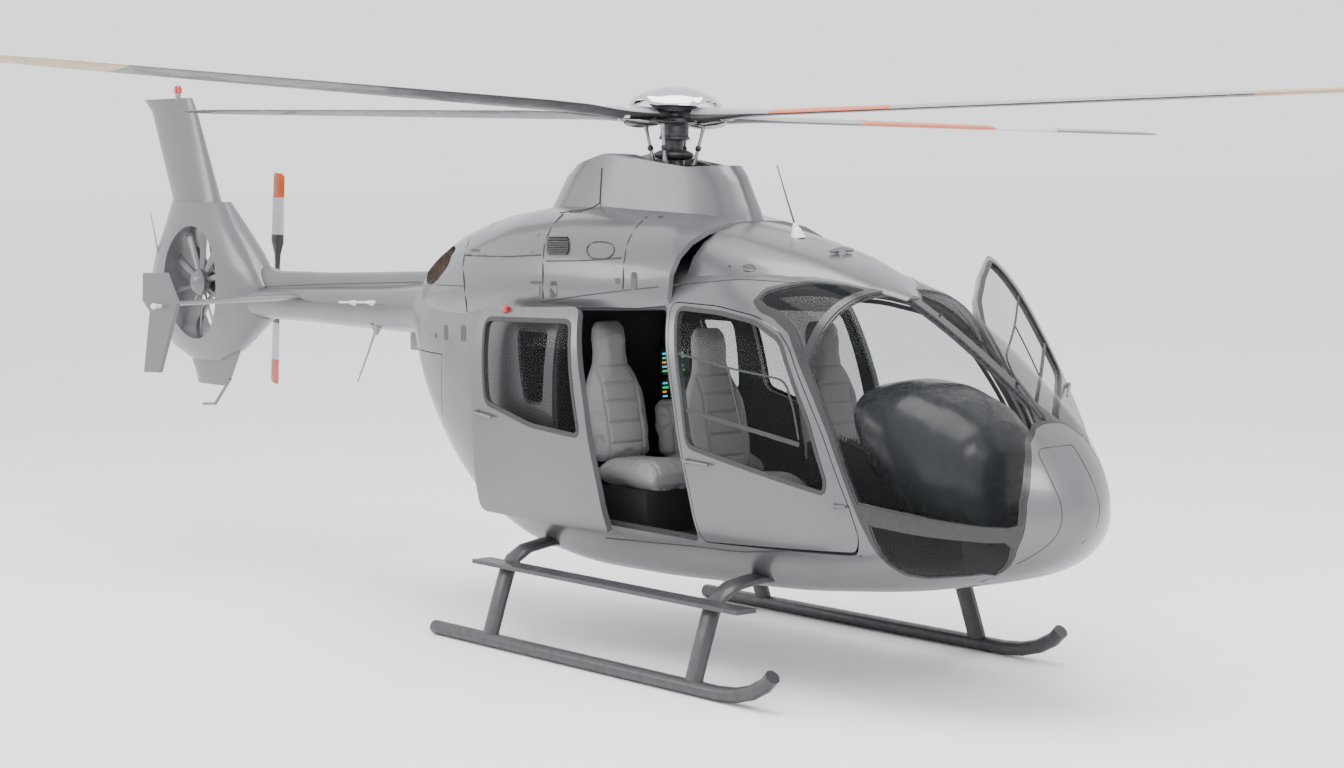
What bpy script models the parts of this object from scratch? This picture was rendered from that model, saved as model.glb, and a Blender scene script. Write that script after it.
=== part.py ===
"""Light twin-engine helicopter, parked on its skids.

The nose points to -Y, the pilot's left (port) is +X and +Z is up. Sizes are in
metres. Stations are measured along Y from the rotor mast, aft positive, and the
empty "airframe_datum" carries the mast line to its place in the model.
"""
import math
from collections import namedtuple

import bmesh
import bpy
from mathutils import Matrix, Vector

# Driving sizes
MAST_Y = -1.094          # the mast stands this far ahead of the model's middle
FIT = 0.0003             # gap between pieces that touch
DOOR_GAP = 0.006         # running gap round doors
WALL = 0.040             # cabin wall and door thickness
COWL_WALL = 0.030
PANE = 0.008             # window thickness
PANE_DEPTH = 0.006       # panes lie this far under the outer skin

CABIN_SIDES, COWL_SIDES, BOOM_SIDES = 28, 24, 18
CLAMSHELL_Y, CLAMSHELL_Z = 1.70, 1.745
INTAKE_Y = -0.80         # open front of the engine cowl, beside the ramp
COWL_JOINT_Y = 1.31      # where the exhaust cowl takes over
BULKHEAD_Y = 0.95        # front face of the wall behind the seats

ROTOR_Z = 3.285
ROTOR_LEAD = 8.0         # degrees from the nose line to the front blade
ROTOR_TILT = 2.6         # degrees by which the mast leans to port
MAST_RADIUS = 0.060
LINK_LEAD = 22.0         # degrees from a blade to its pitch link

FLOOR_Z = 0.76
SEAT_BASE = 0.26
FRONT_SEAT_X, FRONT_SEAT_Y = 0.44, -0.98
REAR_SEAT_X, REAR_SEAT_Y = -0.42, 0.06
FAN_Y, FAN_Z, FAN_RADIUS = 6.20, 2.06, 0.450
TAIL_ROTOR_X = 0.62
SKID_X, SKID_RADIUS, SKID_SIDES = 1.10, 0.045, 12
SKID_Z = SKID_RADIUS * math.cos(math.pi / SKID_SIDES)
DOOR_SLIDE = Vector((-0.115, 0.74, -0.03))   # starboard sliding door, pushed back
PORT_DOOR_OPEN = 60.0    # degrees
SLIDE_GUIDES = ((0.34, 1.28), (0.74, 1.28), (0.34, 0.98))   # rollers inside that door
HINGE_FOOT = Vector((0.758, -2.600, 0.95))   # the front doors' hinge line, mirrored
HINGE_LINE = Vector((-0.020, 0.550, 1.0))
HINGE_HEIGHTS = (1.15, 1.75)
CLAMSHELL_HINGE_X, CLAMSHELL_HINGE_HEIGHTS = 0.697, (1.32, 1.60)
KNUCKLE_RADIUS, KNUCKLE_LENGTH = 0.012, 0.030
FRONT_TUBE_Y, REAR_TUBE_Y = -1.545, 0.53
NOSE_CAP_FRONT, NOSE_CAP_REAR = -3.70, -3.02

Section = namedtuple("Section", "y half low mid high n_low n_high")

# Cabin body, nose to tail end: half width, lowest, widest and highest levels,
# and how square each half of the section is
CABIN = [
    Section(-3.545, 0.04, 1.050, 1.12, 1.190, 2.0, 2.0),
    Section(-3.500, 0.19, 0.950, 1.11, 1.320, 2.1, 2.0),
    Section(-3.400, 0.34, 0.850, 1.10, 1.480, 2.2, 2.1),
    Section(-3.250, 0.47, 0.770, 1.10, 1.620, 2.3, 2.2),
    Section(-3.000, 0.595, 0.700, 1.10, 1.790, 2.5, 2.3),
    Section(-2.700, 0.690, 0.640, 1.11, 1.970, 2.6, 2.4),
    Section(-2.400, 0.750, 0.590, 1.13, 2.130, 2.7, 2.6),
    Section(-2.050, 0.785, 0.550, 1.16, 2.280, 2.8, 2.9),
    Section(-1.600, 0.800, 0.505, 1.18, 2.380, 2.8, 3.2),
    Section(-1.000, 0.800, 0.475, 1.20, 2.420, 2.8, 3.4),
    Section(-0.200, 0.800, 0.445, 1.20, 2.420, 2.8, 3.4),
    Section(0.500, 0.800, 0.460, 1.20, 2.400, 2.8, 3.3),
    Section(0.950, 0.790, 0.540, 1.22, 2.380, 2.8, 3.2),
    Section(1.350, 0.745, 0.700, 1.30, 2.350, 2.7, 3.0),
    Section(1.750, 0.665, 0.985, 1.45, 2.320, 2.6, 2.8),
    Section(2.100, 0.565, 1.320, 1.65, 2.280, 2.5, 2.7),
    Section(2.450, 0.420, 1.730, 1.93, 2.230, 2.4, 2.6),
]

# Engine cowling and its nose ramp on the roof
COWL = [
    Section(-2.160, 0.06, 2.10, 2.15, 2.250, 2.0, 2.0),
    Section(-2.000, 0.26, 2.05, 2.12, 2.330, 2.0, 2.0),
    Section(-1.600, 0.46, 2.00, 2.10, 2.465, 2.0, 2.1),
    Section(-1.200, 0.59, 1.95, 2.10, 2.560, 2.0, 2.3),
    Section(-0.820, 0.68, 1.90, 2.20, 2.640, 2.0, 2.4),
    Section(-0.500, 0.71, 1.85, 2.23, 2.690, 2.0, 2.4),
    Section(0.400, 0.725, 1.78, 2.23, 2.740, 2.0, 2.4),
    Section(1.000, 0.715, 1.75, 2.20, 2.725, 2.0, 2.4),
    Section(1.500, 0.665, 1.74, 2.14, 2.665, 2.0, 2.4),
    Section(1.950, 0.560, 1.74, 2.10, 2.560, 2.0, 2.3),
    Section(2.300, 0.440, 1.75, 2.07, 2.430, 2.1, 2.2),
]

# Ramp ahead of the cowling, between the two engine intakes
RAMP = [
    Section(-2.210, 0.08, 2.10, 2.15, 2.235, 2.0, 2.0),
    Section(-2.000, 0.32, 2.05, 2.16, 2.330, 2.0, 2.0),
    Section(-1.600, 0.465, 2.00, 2.18, 2.465, 2.0, 2.1),
    Section(-1.200, 0.525, 1.95, 2.18, 2.560, 2.0, 2.2),
    Section(-0.800, 0.555, 1.90, 2.20, 2.640, 2.0, 2.2),
    Section(-0.500, 0.555, 1.90, 2.20, 2.660, 2.0, 2.2),
]

# Tail boom
BOOM = [
    Section(2.300, 0.300, 1.760, 2.02, 2.320, 2.4, 2.4),
    Section(2.700, 0.215, 1.785, 1.98, 2.180, 2.3, 2.3),
    Section(3.300, 0.180, 1.790, 1.955, 2.120, 2.2, 2.2),
    Section(4.400, 0.160, 1.805, 1.945, 2.080, 2.2, 2.2),
    Section(5.300, 0.150, 1.810, 1.935, 2.050, 2.2, 2.2),
]

# Cover over the tail drive shaft, along the top of the boom
SHAFT_COVER = [
    Section(2.420, 0.060, 2.02, 2.15, 2.300, 2.5, 2.2),
    Section(2.900, 0.060, 2.02, 2.13, 2.235, 2.5, 2.2),
    Section(4.200, 0.060, 2.00, 2.10, 2.190, 2.5, 2.2),
    Section(5.000, 0.060, 1.99, 2.09, 2.180, 2.5, 2.2),
    Section(5.220, 0.055, 1.98, 2.08, 2.215, 2.5, 2.2),
    Section(5.420, 0.040, 1.98, 2.08, 2.170, 2.5, 2.2),
]

Slice = namedtuple("Slice", "z front rear half square")

# Fan shroud, bottom to top: leading and trailing station, half thickness
SHROUD = [
    Slice(1.440, 5.95, 6.50, 0.070, 2.0),
    Slice(1.540, 5.66, 6.78, 0.120, 2.3),
    Slice(1.800, 5.22, 7.02, 0.170, 2.6),
    Slice(2.060, 5.16, 7.08, 0.185, 2.8),
    Slice(2.300, 5.38, 6.97, 0.175, 2.7),
    Slice(2.520, 5.64, 6.82, 0.145, 2.5),
    Slice(2.700, 5.84, 6.74, 0.105, 2.3),
]
FIN = [
    Slice(2.560, 5.86, 6.76, 0.100, 2.0),
    Slice(2.720, 5.98, 6.75, 0.080, 2.0),
    Slice(3.430, 6.33, 7.09, 0.050, 2.0),
    Slice(3.530, 6.40, 7.23, 0.045, 2.0),
]
VENTRAL_FIN = [
    Slice(1.240, 5.93, 6.42, 0.020, 2.0),
    Slice(1.330, 5.84, 6.46, 0.024, 2.0),
    Slice(1.520, 5.70, 6.58, 0.032, 2.0),
]

Rib = namedtuple("Rib", "x front rear z half_thick pitch")

# Tailplane, tip to tip
TAILPLANE = [
    Rib(-1.275, 4.34, 4.66, 2.00, 0.014, 0.0),
    Rib(0.0, 4.50, 4.88, 2.00, 0.022, 0.0),
    Rib(1.275, 4.34, 4.66, 2.00, 0.014, 0.0),
]

# Main rotor blade and its root, outwards from the mast: the blade's trailing
# side is +Y when it points to +X
MAIN_BLADE = [
    Rib(0.2253, -0.050, 0.050, 0.000, 0.030, 0.0),
    Rib(0.400, -0.060, 0.060, 0.000, 0.030, 2.0),
    Rib(0.620, -0.085, 0.100, 0.004, 0.022, 4.0),
    Rib(0.860, -0.120, 0.165, 0.010, 0.018, 6.0),
    Rib(1.200, -0.125, 0.165, 0.018, 0.017, 7.0),
    Rib(4.500, -0.125, 0.165, 0.072, 0.014, 3.0),
    Rib(4.900, -0.110, 0.150, 0.078, 0.012, 2.0),
    Rib(5.100, -0.040, 0.120, 0.080, 0.008, 2.0),
]

# Blade of the open tail rotor and of the ducted fan
TAIL_BLADE = [
    Rib(0.035, -0.024, 0.024, 0.0, 0.016, 10.0),
    Rib(0.200, -0.036, 0.040, 0.0, 0.013, 12.0),
    Rib(0.300, -0.070, 0.085, 0.0, 0.011, 10.0),
    Rib(0.840, -0.070, 0.085, 0.0, 0.008, 5.0),
    Rib(0.860, -0.040, 0.070, 0.0, 0.005, 5.0),
]
STATOR_VANE = [
    Rib(0.080, -0.030, 0.030, 0.0, 0.010, 78.0),
    Rib(0.4480, -0.030, 0.030, 0.0, 0.008, 78.0),
]
FAN_BLADE = [
    Rib(0.070, -0.020, 0.020, 0.0, 0.010, 40.0),
    Rib(0.150, -0.024, 0.026, 0.0, 0.008, 38.0),
    Rib(0.435, -0.034, 0.036, 0.0, 0.005, 25.0),
]

# Outlines in side view, as (station, height) corners
FRONT_DOOR = [(-0.82, 2.185), (-0.90, 1.92), (-1.00, 1.62), (-1.06, 1.35), (-1.155, 1.06),
              (-1.19, 0.80), (-2.50, 0.868), (-2.545, 0.96), (-2.50, 1.10), (-2.285, 1.507),
              (-2.145, 1.70), (-1.93, 1.97), (-1.80, 2.065), (-1.60, 2.13), (-1.25, 2.175)]
# The doorway's lower front corner drops, so that the leaning door swings clear
FRONT_DOORWAY = [(y, z - 0.016 if (y, z) == (-2.50, 0.868) else z) for y, z in FRONT_DOOR]
FRONT_WINDOW = [(-0.90, 2.15), (-1.06, 1.675), (-1.125, 1.36), (-2.30, 1.185), (-2.315, 1.25),
                (-2.17, 1.568), (-1.98, 1.832), (-1.85, 2.00), (-1.61, 2.095), (-1.29, 2.135)]
REAR_DOOR = [(-0.805, 2.165), (-0.885, 1.92), (-0.985, 1.62), (-1.045, 1.35), (-1.14, 1.06),
             (-1.175, 0.80), (0.205, 0.82), (0.24, 1.44), (0.255, 1.95), (0.235, 2.12)]
REAR_WINDOW = [(0.17, 2.05), (-0.76, 2.07), (-0.94, 1.385), (-0.42, 1.418), (0.08, 1.53)]
REAR_SIDE_WINDOW = [(0.70, 1.97), (0.34, 1.97), (0.345, 1.50), (0.55, 1.50)]
WINDSCREEN = [(-2.075, 2.40), (-2.09, 1.88), (-2.235, 1.69), (-2.35, 1.52), (-2.44, 1.33),
              (-2.535, 1.145), (-2.93, 1.10), (-3.25, 1.065), (-3.75, 1.035), (-3.75, 2.40)]
CHIN_WINDOW = [(-2.61, 1.04), (-2.93, 1.005), (-3.25, 0.985), (-3.60, 0.98), (-3.60, 0.80),
               (-3.20, 0.80), (-3.03, 0.767), (-2.82, 0.742), (-2.72, 0.76), (-2.665, 0.83)]
ENDPLATE = [(4.76, 2.22), (4.41, 2.23), (4.24, 2.01), (4.55, 1.50), (4.79, 1.49), (4.67, 1.94),
            (4.78, 2.02)]

TAIL_BUMPER = [(5.88, 1.30), (6.14, 1.085), (6.34, 1.07)]

# Outlines in front view (x, height) and in plan view (x, station)
NOSE_CAP = [(-0.27, 0.60), (-0.29, 0.80), (-0.33, 0.95), (-0.31, 1.195), (-0.26, 1.36),
            (-0.20, 1.50), (-0.11, 1.58), (0.11, 1.58), (0.20, 1.50), (0.26, 1.36),
            (0.31, 1.195), (0.33, 0.95), (0.29, 0.80), (0.27, 0.60)]
ROOF_WINDOW = [(0.215, -2.05), (0.36, -1.79), (0.49, -1.64), (0.545, -1.56), (0.60, -1.545),
               (0.618, -1.63), (0.615, -1.75), (0.635, -1.89), (0.667, -1.986), (0.682, -2.05)]
MAST_WELL = [(-0.085, -0.40), (0.085, -0.40), (0.172, -0.06), (0.172, 0.28), (0.09, 0.60),
             (-0.09, 0.60), (-0.172, 0.28), (-0.172, -0.06)]

SILVER = ("silver_paint", (0.50, 0.50, 0.50), 0.35, 0.6)
DARK = ("dark_grey_paint", (0.05, 0.05, 0.055), 0.5, 0.0)
GLASS = ("tinted_acrylic", (0.10, 0.11, 0.12), 0.1, 0.0)
STEEL = ("machined_steel", (0.35, 0.35, 0.36), 0.4, 0.9)
POLISHED = ("polished_cap", (0.70, 0.70, 0.71), 0.15, 1.0)
LEATHER = ("seat_leather", (0.45, 0.43, 0.40), 0.6, 0.0)
TRIM = ("interior_trim", (0.12, 0.12, 0.12), 0.7, 0.0)
BLADE = ("blade_composite", (0.25, 0.25, 0.26), 0.5, 0.0)


def clear_scene():
    """Take every object out of the scene."""
    for obj in list(bpy.data.objects):
        bpy.data.objects.remove(obj, do_unlink=True)


def collection(name):
    """A new collection in the scene."""
    group = bpy.data.collections.new(name)
    bpy.context.scene.collection.children.link(group)
    return group


clear_scene()
PARTS = collection("helicopter")
CUTTERS = collection("cutters")


def material(spec):
    """The Principled material that a (name, colour, roughness, metallic) row gives."""
    name, colour, rough, metal = spec
    mat = bpy.data.materials.get(name)
    if mat is None:
        mat = bpy.data.materials.new(name)
        mat.use_nodes = True
        shader = mat.node_tree.nodes["Principled BSDF"]
        shader.inputs["Base Color"].default_value = (*colour, 1.0)
        shader.inputs["Roughness"].default_value = rough
        shader.inputs["Metallic"].default_value = metal
    return mat


def empty(name, place, parent=None):
    """A plain axes empty, at a place under its parent."""
    obj = bpy.data.objects.new(name, None)
    obj.location = place
    obj.parent = parent
    PARTS.objects.link(obj)
    return obj


DATUM = empty("airframe_datum", (0.0, MAST_Y, 0.0))


def add_object(name, mesh, finish, parent=DATUM, place=(0, 0, 0)):
    """An object on a parent: a part when it has a finish, or else a cutter."""
    obj = bpy.data.objects.new(name, mesh)
    obj.parent = parent
    obj.location = place
    if finish is None:
        CUTTERS.objects.link(obj)
        obj.hide_render = True
        obj.display_type = "WIRE"
    else:
        PARTS.objects.link(obj)
        mesh.materials.append(material(finish))
    return obj


def as_cutter(obj):
    """Turn a part into a cutter or a piece that another object takes in."""
    PARTS.objects.unlink(obj)
    CUTTERS.objects.link(obj)
    obj.hide_render = True
    obj.display_type = "WIRE"


def combine(obj, operation, *others):
    """Boolean modifiers that cut, join or keep the overlap with other objects."""
    for other in others:
        mod = obj.modifiers.new(operation.lower(), "BOOLEAN")
        mod.operation = operation
        mod.solver = "EXACT"
        mod.object = other
        if other.name in PARTS.objects and operation == "UNION":
            as_cutter(other)
    return obj


def mesh_from(name, points, faces):
    """A mesh with its faces turned outwards."""
    mesh = bpy.data.meshes.new(name)
    mesh.from_pydata([tuple(p) for p in points], [], faces)
    form = bmesh.new()
    form.from_mesh(mesh)
    bmesh.ops.recalc_face_normals(form, faces=form.faces)
    form.to_mesh(mesh)
    form.free()
    mesh.shade_smooth()
    mesh.set_sharp_from_angle(angle=math.radians(35))
    return mesh


def loft(name, rings):
    """A closed mesh through rings of equal length, with flat ends."""
    count = len(rings[0])
    points = [point for ring in rings for point in ring]
    faces = []
    for row in range(len(rings) - 1):
        for i in range(count):
            j = (i + 1) % count
            a, b = row * count, (row + 1) * count
            faces.append((a + i, a + j, b + j))
            faces.append((a + i, b + j, b + i))
    faces.append(tuple(range(count)))
    faces.append(tuple(range(len(points) - count, len(points))))
    return mesh_from(name, points, faces)


def power(value, exponent):
    """A signed power, which squares a circle off."""
    return math.copysign(abs(value) ** exponent, value)


def section_ring(row, sides, inset=0.0):
    """A cross section: two half superellipses that share their widest level."""
    ring = []
    half = max(row.half - inset, 0.012)
    for i in range(sides):
        angle = 2.0 * math.pi * i / sides
        upper = math.sin(angle) >= 0.0
        n = row.n_high if upper else row.n_low
        reach = (row.high - row.mid) if upper else (row.mid - row.low)
        x = half * power(math.cos(angle), 2.0 / n)
        z = row.mid + max(reach - inset, 0.012) * power(math.sin(angle), 2.0 / n)
        ring.append((x, z))
    return ring


def body_mesh(name, table, sides, inset=0.0):
    """A body through a table of cross sections, shrunk by an inset on every side."""
    first, last = table[0].y, table[-1].y
    shrink = (last - first - 2.0 * inset) / (last - first)
    rings = []
    for row in table:
        y = first + inset + (row.y - first) * shrink
        rings.append([(x, y, z) for x, z in section_ring(row, sides, inset)])
    return loft(name, rings)


def fin_mesh(name, table, sides):
    """A fin through a table of level slices."""
    rings = []
    for row in table:
        middle, reach = 0.5 * (row.front + row.rear), 0.5 * (row.rear - row.front)
        ring = []
        for i in range(sides):
            angle = 2.0 * math.pi * i / sides
            ring.append((row.half * power(math.sin(angle), 2.0 / row.square),
                         middle + reach * power(math.cos(angle), 2.0 / row.square), row.z))
        rings.append(ring)
    return loft(name, rings)


def wing_mesh(name, table, sides, grow):
    """A wing or blade through a table of slices across X: a pointed-oval section."""
    rings = []
    for row in table:
        middle, reach = 0.5 * (row.front + row.rear), 0.5 * (row.rear - row.front) + grow
        ring = []
        for i in range(sides):
            angle = 2.0 * math.pi * i / sides
            thin = (row.half_thick + grow) * math.sin(angle) * (1.0 - 0.35 * math.cos(angle))
            tilt = math.radians(row.pitch)
            ahead = reach * math.cos(angle)
            ring.append((row.x, middle + ahead * math.cos(tilt) - thin * math.sin(tilt),
                         row.z + ahead * math.sin(tilt) + thin * math.cos(tilt)))
        rings.append(ring)
    return loft(name, rings)


def rounded(corners, radius, steps=2):
    """An outline with each corner turned into a short arc."""
    outline = []
    count = len(corners)
    for i, corner in enumerate(corners):
        here = Vector(corner)
        before = Vector(corners[i - 1]) - here
        after = Vector(corners[(i + 1) % count]) - here
        reach = min(radius, 0.4 * before.length, 0.4 * after.length)
        start = here + before.normalized() * reach
        end = here + after.normalized() * reach
        for step in range(steps + 1):
            t = step / steps
            outline.append(start.lerp(here, t).lerp(here.lerp(end, t), t))
    return outline


def shrunk(corners, distance):
    """An outline moved inwards by a distance, or outwards if that is negative."""
    count = len(corners)
    points = [Vector(corner) for corner in corners]
    area = sum(points[i - 1].cross(points[i]) for i in range(count))
    side = math.copysign(1.0, area)
    moved = []
    for i in range(count):
        into = (points[i] - points[i - 1]).normalized()
        out = (points[(i + 1) % count] - points[i]).normalized()
        normal = (Vector((-into.y, into.x)) + Vector((-out.y, out.x))) * side
        normal.normalize()
        spread = max(normal.dot(Vector((-into.y, into.x)) * side), 0.35)
        moved.append(points[i] + normal * (distance / spread))
    return moved


def plate(name, outline, start, end, plane, finish=None, parent=DATUM):
    """A flat outline given a thickness: drawn in side, front or plan view."""
    curve = bpy.data.curves.new(name, "CURVE")
    curve.dimensions = "2D"
    curve.fill_mode = "BOTH"
    curve.extrude = abs(end - start) / 2.0
    spline = curve.splines.new("POLY")
    spline.points.add(len(outline) - 1)
    for point, corner in zip(spline.points, outline):
        point.co = (corner[0], corner[1], 0.0, 1.0)
    spline.use_cyclic_u = True
    holder = bpy.data.objects.new(name + "_outline", curve)
    CUTTERS.objects.link(holder)
    mesh = bpy.data.meshes.new_from_object(
        holder.evaluated_get(bpy.context.evaluated_depsgraph_get()))
    bpy.data.objects.remove(holder, do_unlink=True)
    bpy.data.curves.remove(curve)
    middle = (start + end) / 2.0
    turn = {
        "side": Matrix(((0, 0, 1, middle), (1, 0, 0, 0), (0, 1, 0, 0), (0, 0, 0, 1))),
        "front": Matrix(((1, 0, 0, 0), (0, 0, 1, middle), (0, 1, 0, 0), (0, 0, 0, 1))),
        "plan": Matrix(((1, 0, 0, 0), (0, 1, 0, 0), (0, 0, 1, middle), (0, 0, 0, 1))),
    }[plane]
    mesh.transform(turn)
    form = bmesh.new()
    form.from_mesh(mesh)
    bmesh.ops.remove_doubles(form, verts=form.verts, dist=0.00005)
    bmesh.ops.recalc_face_normals(form, faces=form.faces)
    form.to_mesh(mesh)
    form.free()
    mesh.materials.clear()
    return add_object(name, mesh, finish, parent)


def box(name, low, high, finish=None, parent=DATUM):
    """A box from its lowest to its highest corner."""
    low, high = Vector(low), Vector(high)
    form = bmesh.new()
    bmesh.ops.create_cube(form, size=1.0)
    mesh = bpy.data.meshes.new(name)
    form.to_mesh(mesh)
    form.free()
    size = high - low
    mesh.transform(Matrix.Translation((low + high) / 2.0) @ Matrix.Diagonal((*size, 1.0)))
    return add_object(name, mesh, finish, parent)


def bar(name, start, end, radius, sides=12, finish=None, parent=DATUM):
    """A round bar between two points."""
    start, end = Vector(start), Vector(end)
    form = bmesh.new()
    bmesh.ops.create_cone(form, cap_ends=True, segments=sides, radius1=radius,
                          radius2=radius, depth=(end - start).length)
    mesh = bpy.data.meshes.new(name)
    form.to_mesh(mesh)
    form.free()
    turn = (end - start).to_track_quat("Z", "Y").to_matrix().to_4x4()
    mesh.transform(Matrix.Translation((start + end) / 2.0) @ turn)
    mesh.shade_smooth()
    mesh.set_sharp_from_angle(angle=math.radians(40))
    return add_object(name, mesh, finish, parent)


def turned(name, profile, steps, finish=None, parent=DATUM, place=(0, 0, 0), closed=False):
    """A turned solid: a (radius, height) profile, outer side downwards, screwed round Z."""
    links = [(i, i + 1) for i in range(len(profile) - 1)]
    if closed:
        links.append((len(profile) - 1, 0))
    mesh = bpy.data.meshes.new(name)
    mesh.from_pydata([(r, 0.0, z) for r, z in profile], links, [])
    obj = add_object(name, mesh, finish, parent, place)
    screw = obj.modifiers.new("turn", "SCREW")
    screw.steps = screw.render_steps = steps
    screw.use_merge_vertices = True
    screw.merge_threshold = 0.0001
    return obj


def sweep(name, path, half_wide, half_thick, sides, square, finish=None, parent=DATUM):
    """A bar of flattened section along a path of (x, station, height) points.

    The wide way of the section stays along Y where the path runs across the
    machine, and along X where it runs fore and aft.
    """
    points = [Vector(p) for p in path]
    rings = []
    for i, point in enumerate(points):
        before = points[max(i - 1, 0)]
        after = points[min(i + 1, len(points) - 1)]
        along = (after - before).normalized()
        wide = Vector((0, 1, 0)) if abs(along.y) < 0.5 else Vector((1, 0, 0))
        thin = along.cross(wide).normalized()
        wide = thin.cross(along).normalized()
        ring = []
        for k in range(sides):
            angle = 2.0 * math.pi * (k + 0.5) / sides
            ring.append(point + wide * half_wide * power(math.cos(angle), 2.0 / square)
                        + thin * half_thick * power(math.sin(angle), 2.0 / square))
        rings.append(ring)
    return add_object(name, loft(name, rings), finish, parent)


def skin(name, finish, parent=DATUM, depth=0.0, thick=WALL):
    """A stretch of the cabin's skin, at a depth under the outer face."""
    obj = add_object(name, body_mesh(name, CABIN, CABIN_SIDES, depth), finish, parent)
    inner = add_object(name + "_inner", body_mesh(name + "_inner", CABIN, CABIN_SIDES, depth + thick),
                       None, parent)
    return combine(obj, "DIFFERENCE", inner)


def side_cut(name, outline, side, parent=DATUM, near=0.16):
    """A side-view cutter on one side of the machine: side is -1 or +1."""
    return plate(name, outline, *sorted((side * near, side * 1.10)), "side", None, parent)


SIDES = (("starboard", -1.0), ("port", 1.0))


def cabin():
    """The hollow cabin body, its panes, nose cap, floor and rear doors."""
    body = skin("cabin_body", SILVER)
    for label, side in SIDES:
        for name, outline, near in (("front_door", rounded(FRONT_DOORWAY, 0.07), 0.3),
                                    ("rear_door", rounded(REAR_DOOR, 0.07), 0.3),
                                    ("rear_window", rounded(REAR_SIDE_WINDOW, 0.06), 0.3),
                                    ("windscreen", rounded(WINDSCREEN, 0.05), 0.030),
                                    ("chin_window", rounded(CHIN_WINDOW, 0.05), 0.1)):
            combine(body, "DIFFERENCE", side_cut(f"{name}_hole_{label}", outline, side,
                                                 near=near))
        roof = [(side * x, y) for x, y in ROOF_WINDOW]
        combine(body, "DIFFERENCE",
                plate(f"roof_window_hole_{label}", rounded(roof, 0.04), 1.7, 2.6, "plan"))
    nose = plate("nose_cap_hole", rounded(NOSE_CAP, 0.10), NOSE_CAP_FRONT, NOSE_CAP_REAR,
                 "front")
    combine(body, "DIFFERENCE", nose)
    rear = box("clamshell_hole", (-1.0, CLAMSHELL_Y, 0.4), (1.0, 2.6, CLAMSHELL_Z))
    combine(body, "DIFFERENCE", rear)
    for label, y in (("front", FRONT_TUBE_Y), ("rear", REAR_TUBE_Y)):
        combine(body, "DIFFERENCE", cross_tube(f"cross_tube_{label}_hole", y, FIT, None))

    cap = skin("nose_cap", SILVER)
    combine(cap, "INTERSECT",
            plate("nose_cap_keep", shrunk(rounded(NOSE_CAP, 0.10), FIT), NOSE_CAP_FRONT,
                  NOSE_CAP_REAR - FIT, "front"))

    for label, side in SIDES:
        for name, outline, near in (("rear_window", rounded(REAR_SIDE_WINDOW, 0.06), 0.3),
                                    ("windscreen", rounded(WINDSCREEN, 0.05), 0.030),
                                    ("chin_window", rounded(CHIN_WINDOW, 0.05), 0.1)):
            pane = skin(f"{name}_{label}", GLASS, depth=PANE_DEPTH, thick=PANE)
            keep = side_cut(f"{name}_keep_{label}", shrunk(outline, FIT), side,
                            near=near + FIT)
            combine(pane, "INTERSECT", keep)
            if name != "rear_window":
                combine(pane, "DIFFERENCE", nose)
        roof = [(side * x, y) for x, y in ROOF_WINDOW]
        pane = skin(f"roof_window_{label}", GLASS, depth=PANE_DEPTH, thick=PANE)
        combine(pane, "INTERSECT", plate(f"roof_window_keep_{label}",
                                         shrunk(rounded(roof, 0.04), FIT), 1.7, 2.6, "plan"))

    floor = add_object("cabin_floor", body_mesh("cabin_floor", CABIN, CABIN_SIDES, WALL + FIT), TRIM)
    combine(floor, "INTERSECT", box("floor_slab", (-1, -3.0, FLOOR_Z - 0.03), (1, 1.45, FLOOR_Z)))
    wall = add_object("rear_bulkhead", body_mesh("rear_bulkhead", CABIN, CABIN_SIDES, WALL + FIT), TRIM)
    combine(wall, "INTERSECT", box("bulkhead_slab", (-1, BULKHEAD_Y, FLOOR_Z + FIT),
                                   (1, BULKHEAD_Y + 0.03, 2.6)))

    for label, side in SIDES:
        leaf = skin(f"clamshell_door_{label}", SILVER)
        for level in CLAMSHELL_HINGE_HEIGHTS:
            start = Vector((side * CLAMSHELL_HINGE_X, CLAMSHELL_Y + 0.003, level))
            knuckles(f"clamshell_hinge_{label}_{level}", body, leaf, start, Vector((0, 0, 1)),
                     side, 0.030, 0.017, DATUM)
        low, high = sorted((side * 0.003, side * 1.0))
        combine(leaf, "INTERSECT",
                box(f"clamshell_keep_{label}", (low, CLAMSHELL_Y + DOOR_GAP, 0.4),
                    (high, 2.6, CLAMSHELL_Z - DOOR_GAP)))


def knuckles(name, body, leaf, start, line, side, strap, ahead, leaf_parent):
    """A hinge: a knuckle on an arm from the body under one on a strap from the leaf.

    The strap runs aft by its length, and the body's arm leans forward by ahead.
    """
    inwards = Vector((-side * 0.055, 0.0, 0.0))
    for owner, place, parent in ((body, start - line * KNUCKLE_LENGTH, DATUM),
                                 (leaf, start + line * FIT, leaf_parent)):
        tag = f"{name}_{owner.name}"
        end = place + line * KNUCKLE_LENGTH
        middle = (place + end) / 2.0
        combine(owner, "UNION",
                bar(tag + "_barrel", place, end, KNUCKLE_RADIUS, 8, STEEL, parent))
        bend = middle
        if owner == leaf:
            bend = middle + Vector((0.0, strap, 0.0))
            combine(owner, "UNION", bar(tag + "_strap", middle, bend + Vector((0, 0.004, 0)),
                                        0.66 * KNUCKLE_RADIUS, 7, STEEL, parent))
        slant = Vector((0.0, -ahead if owner == body else 0.019, 0.0))
        combine(owner, "UNION", bar(tag + "_foot", bend, bend + inwards + slant,
                                    0.62 * KNUCKLE_RADIUS, 7, STEEL, parent))


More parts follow.
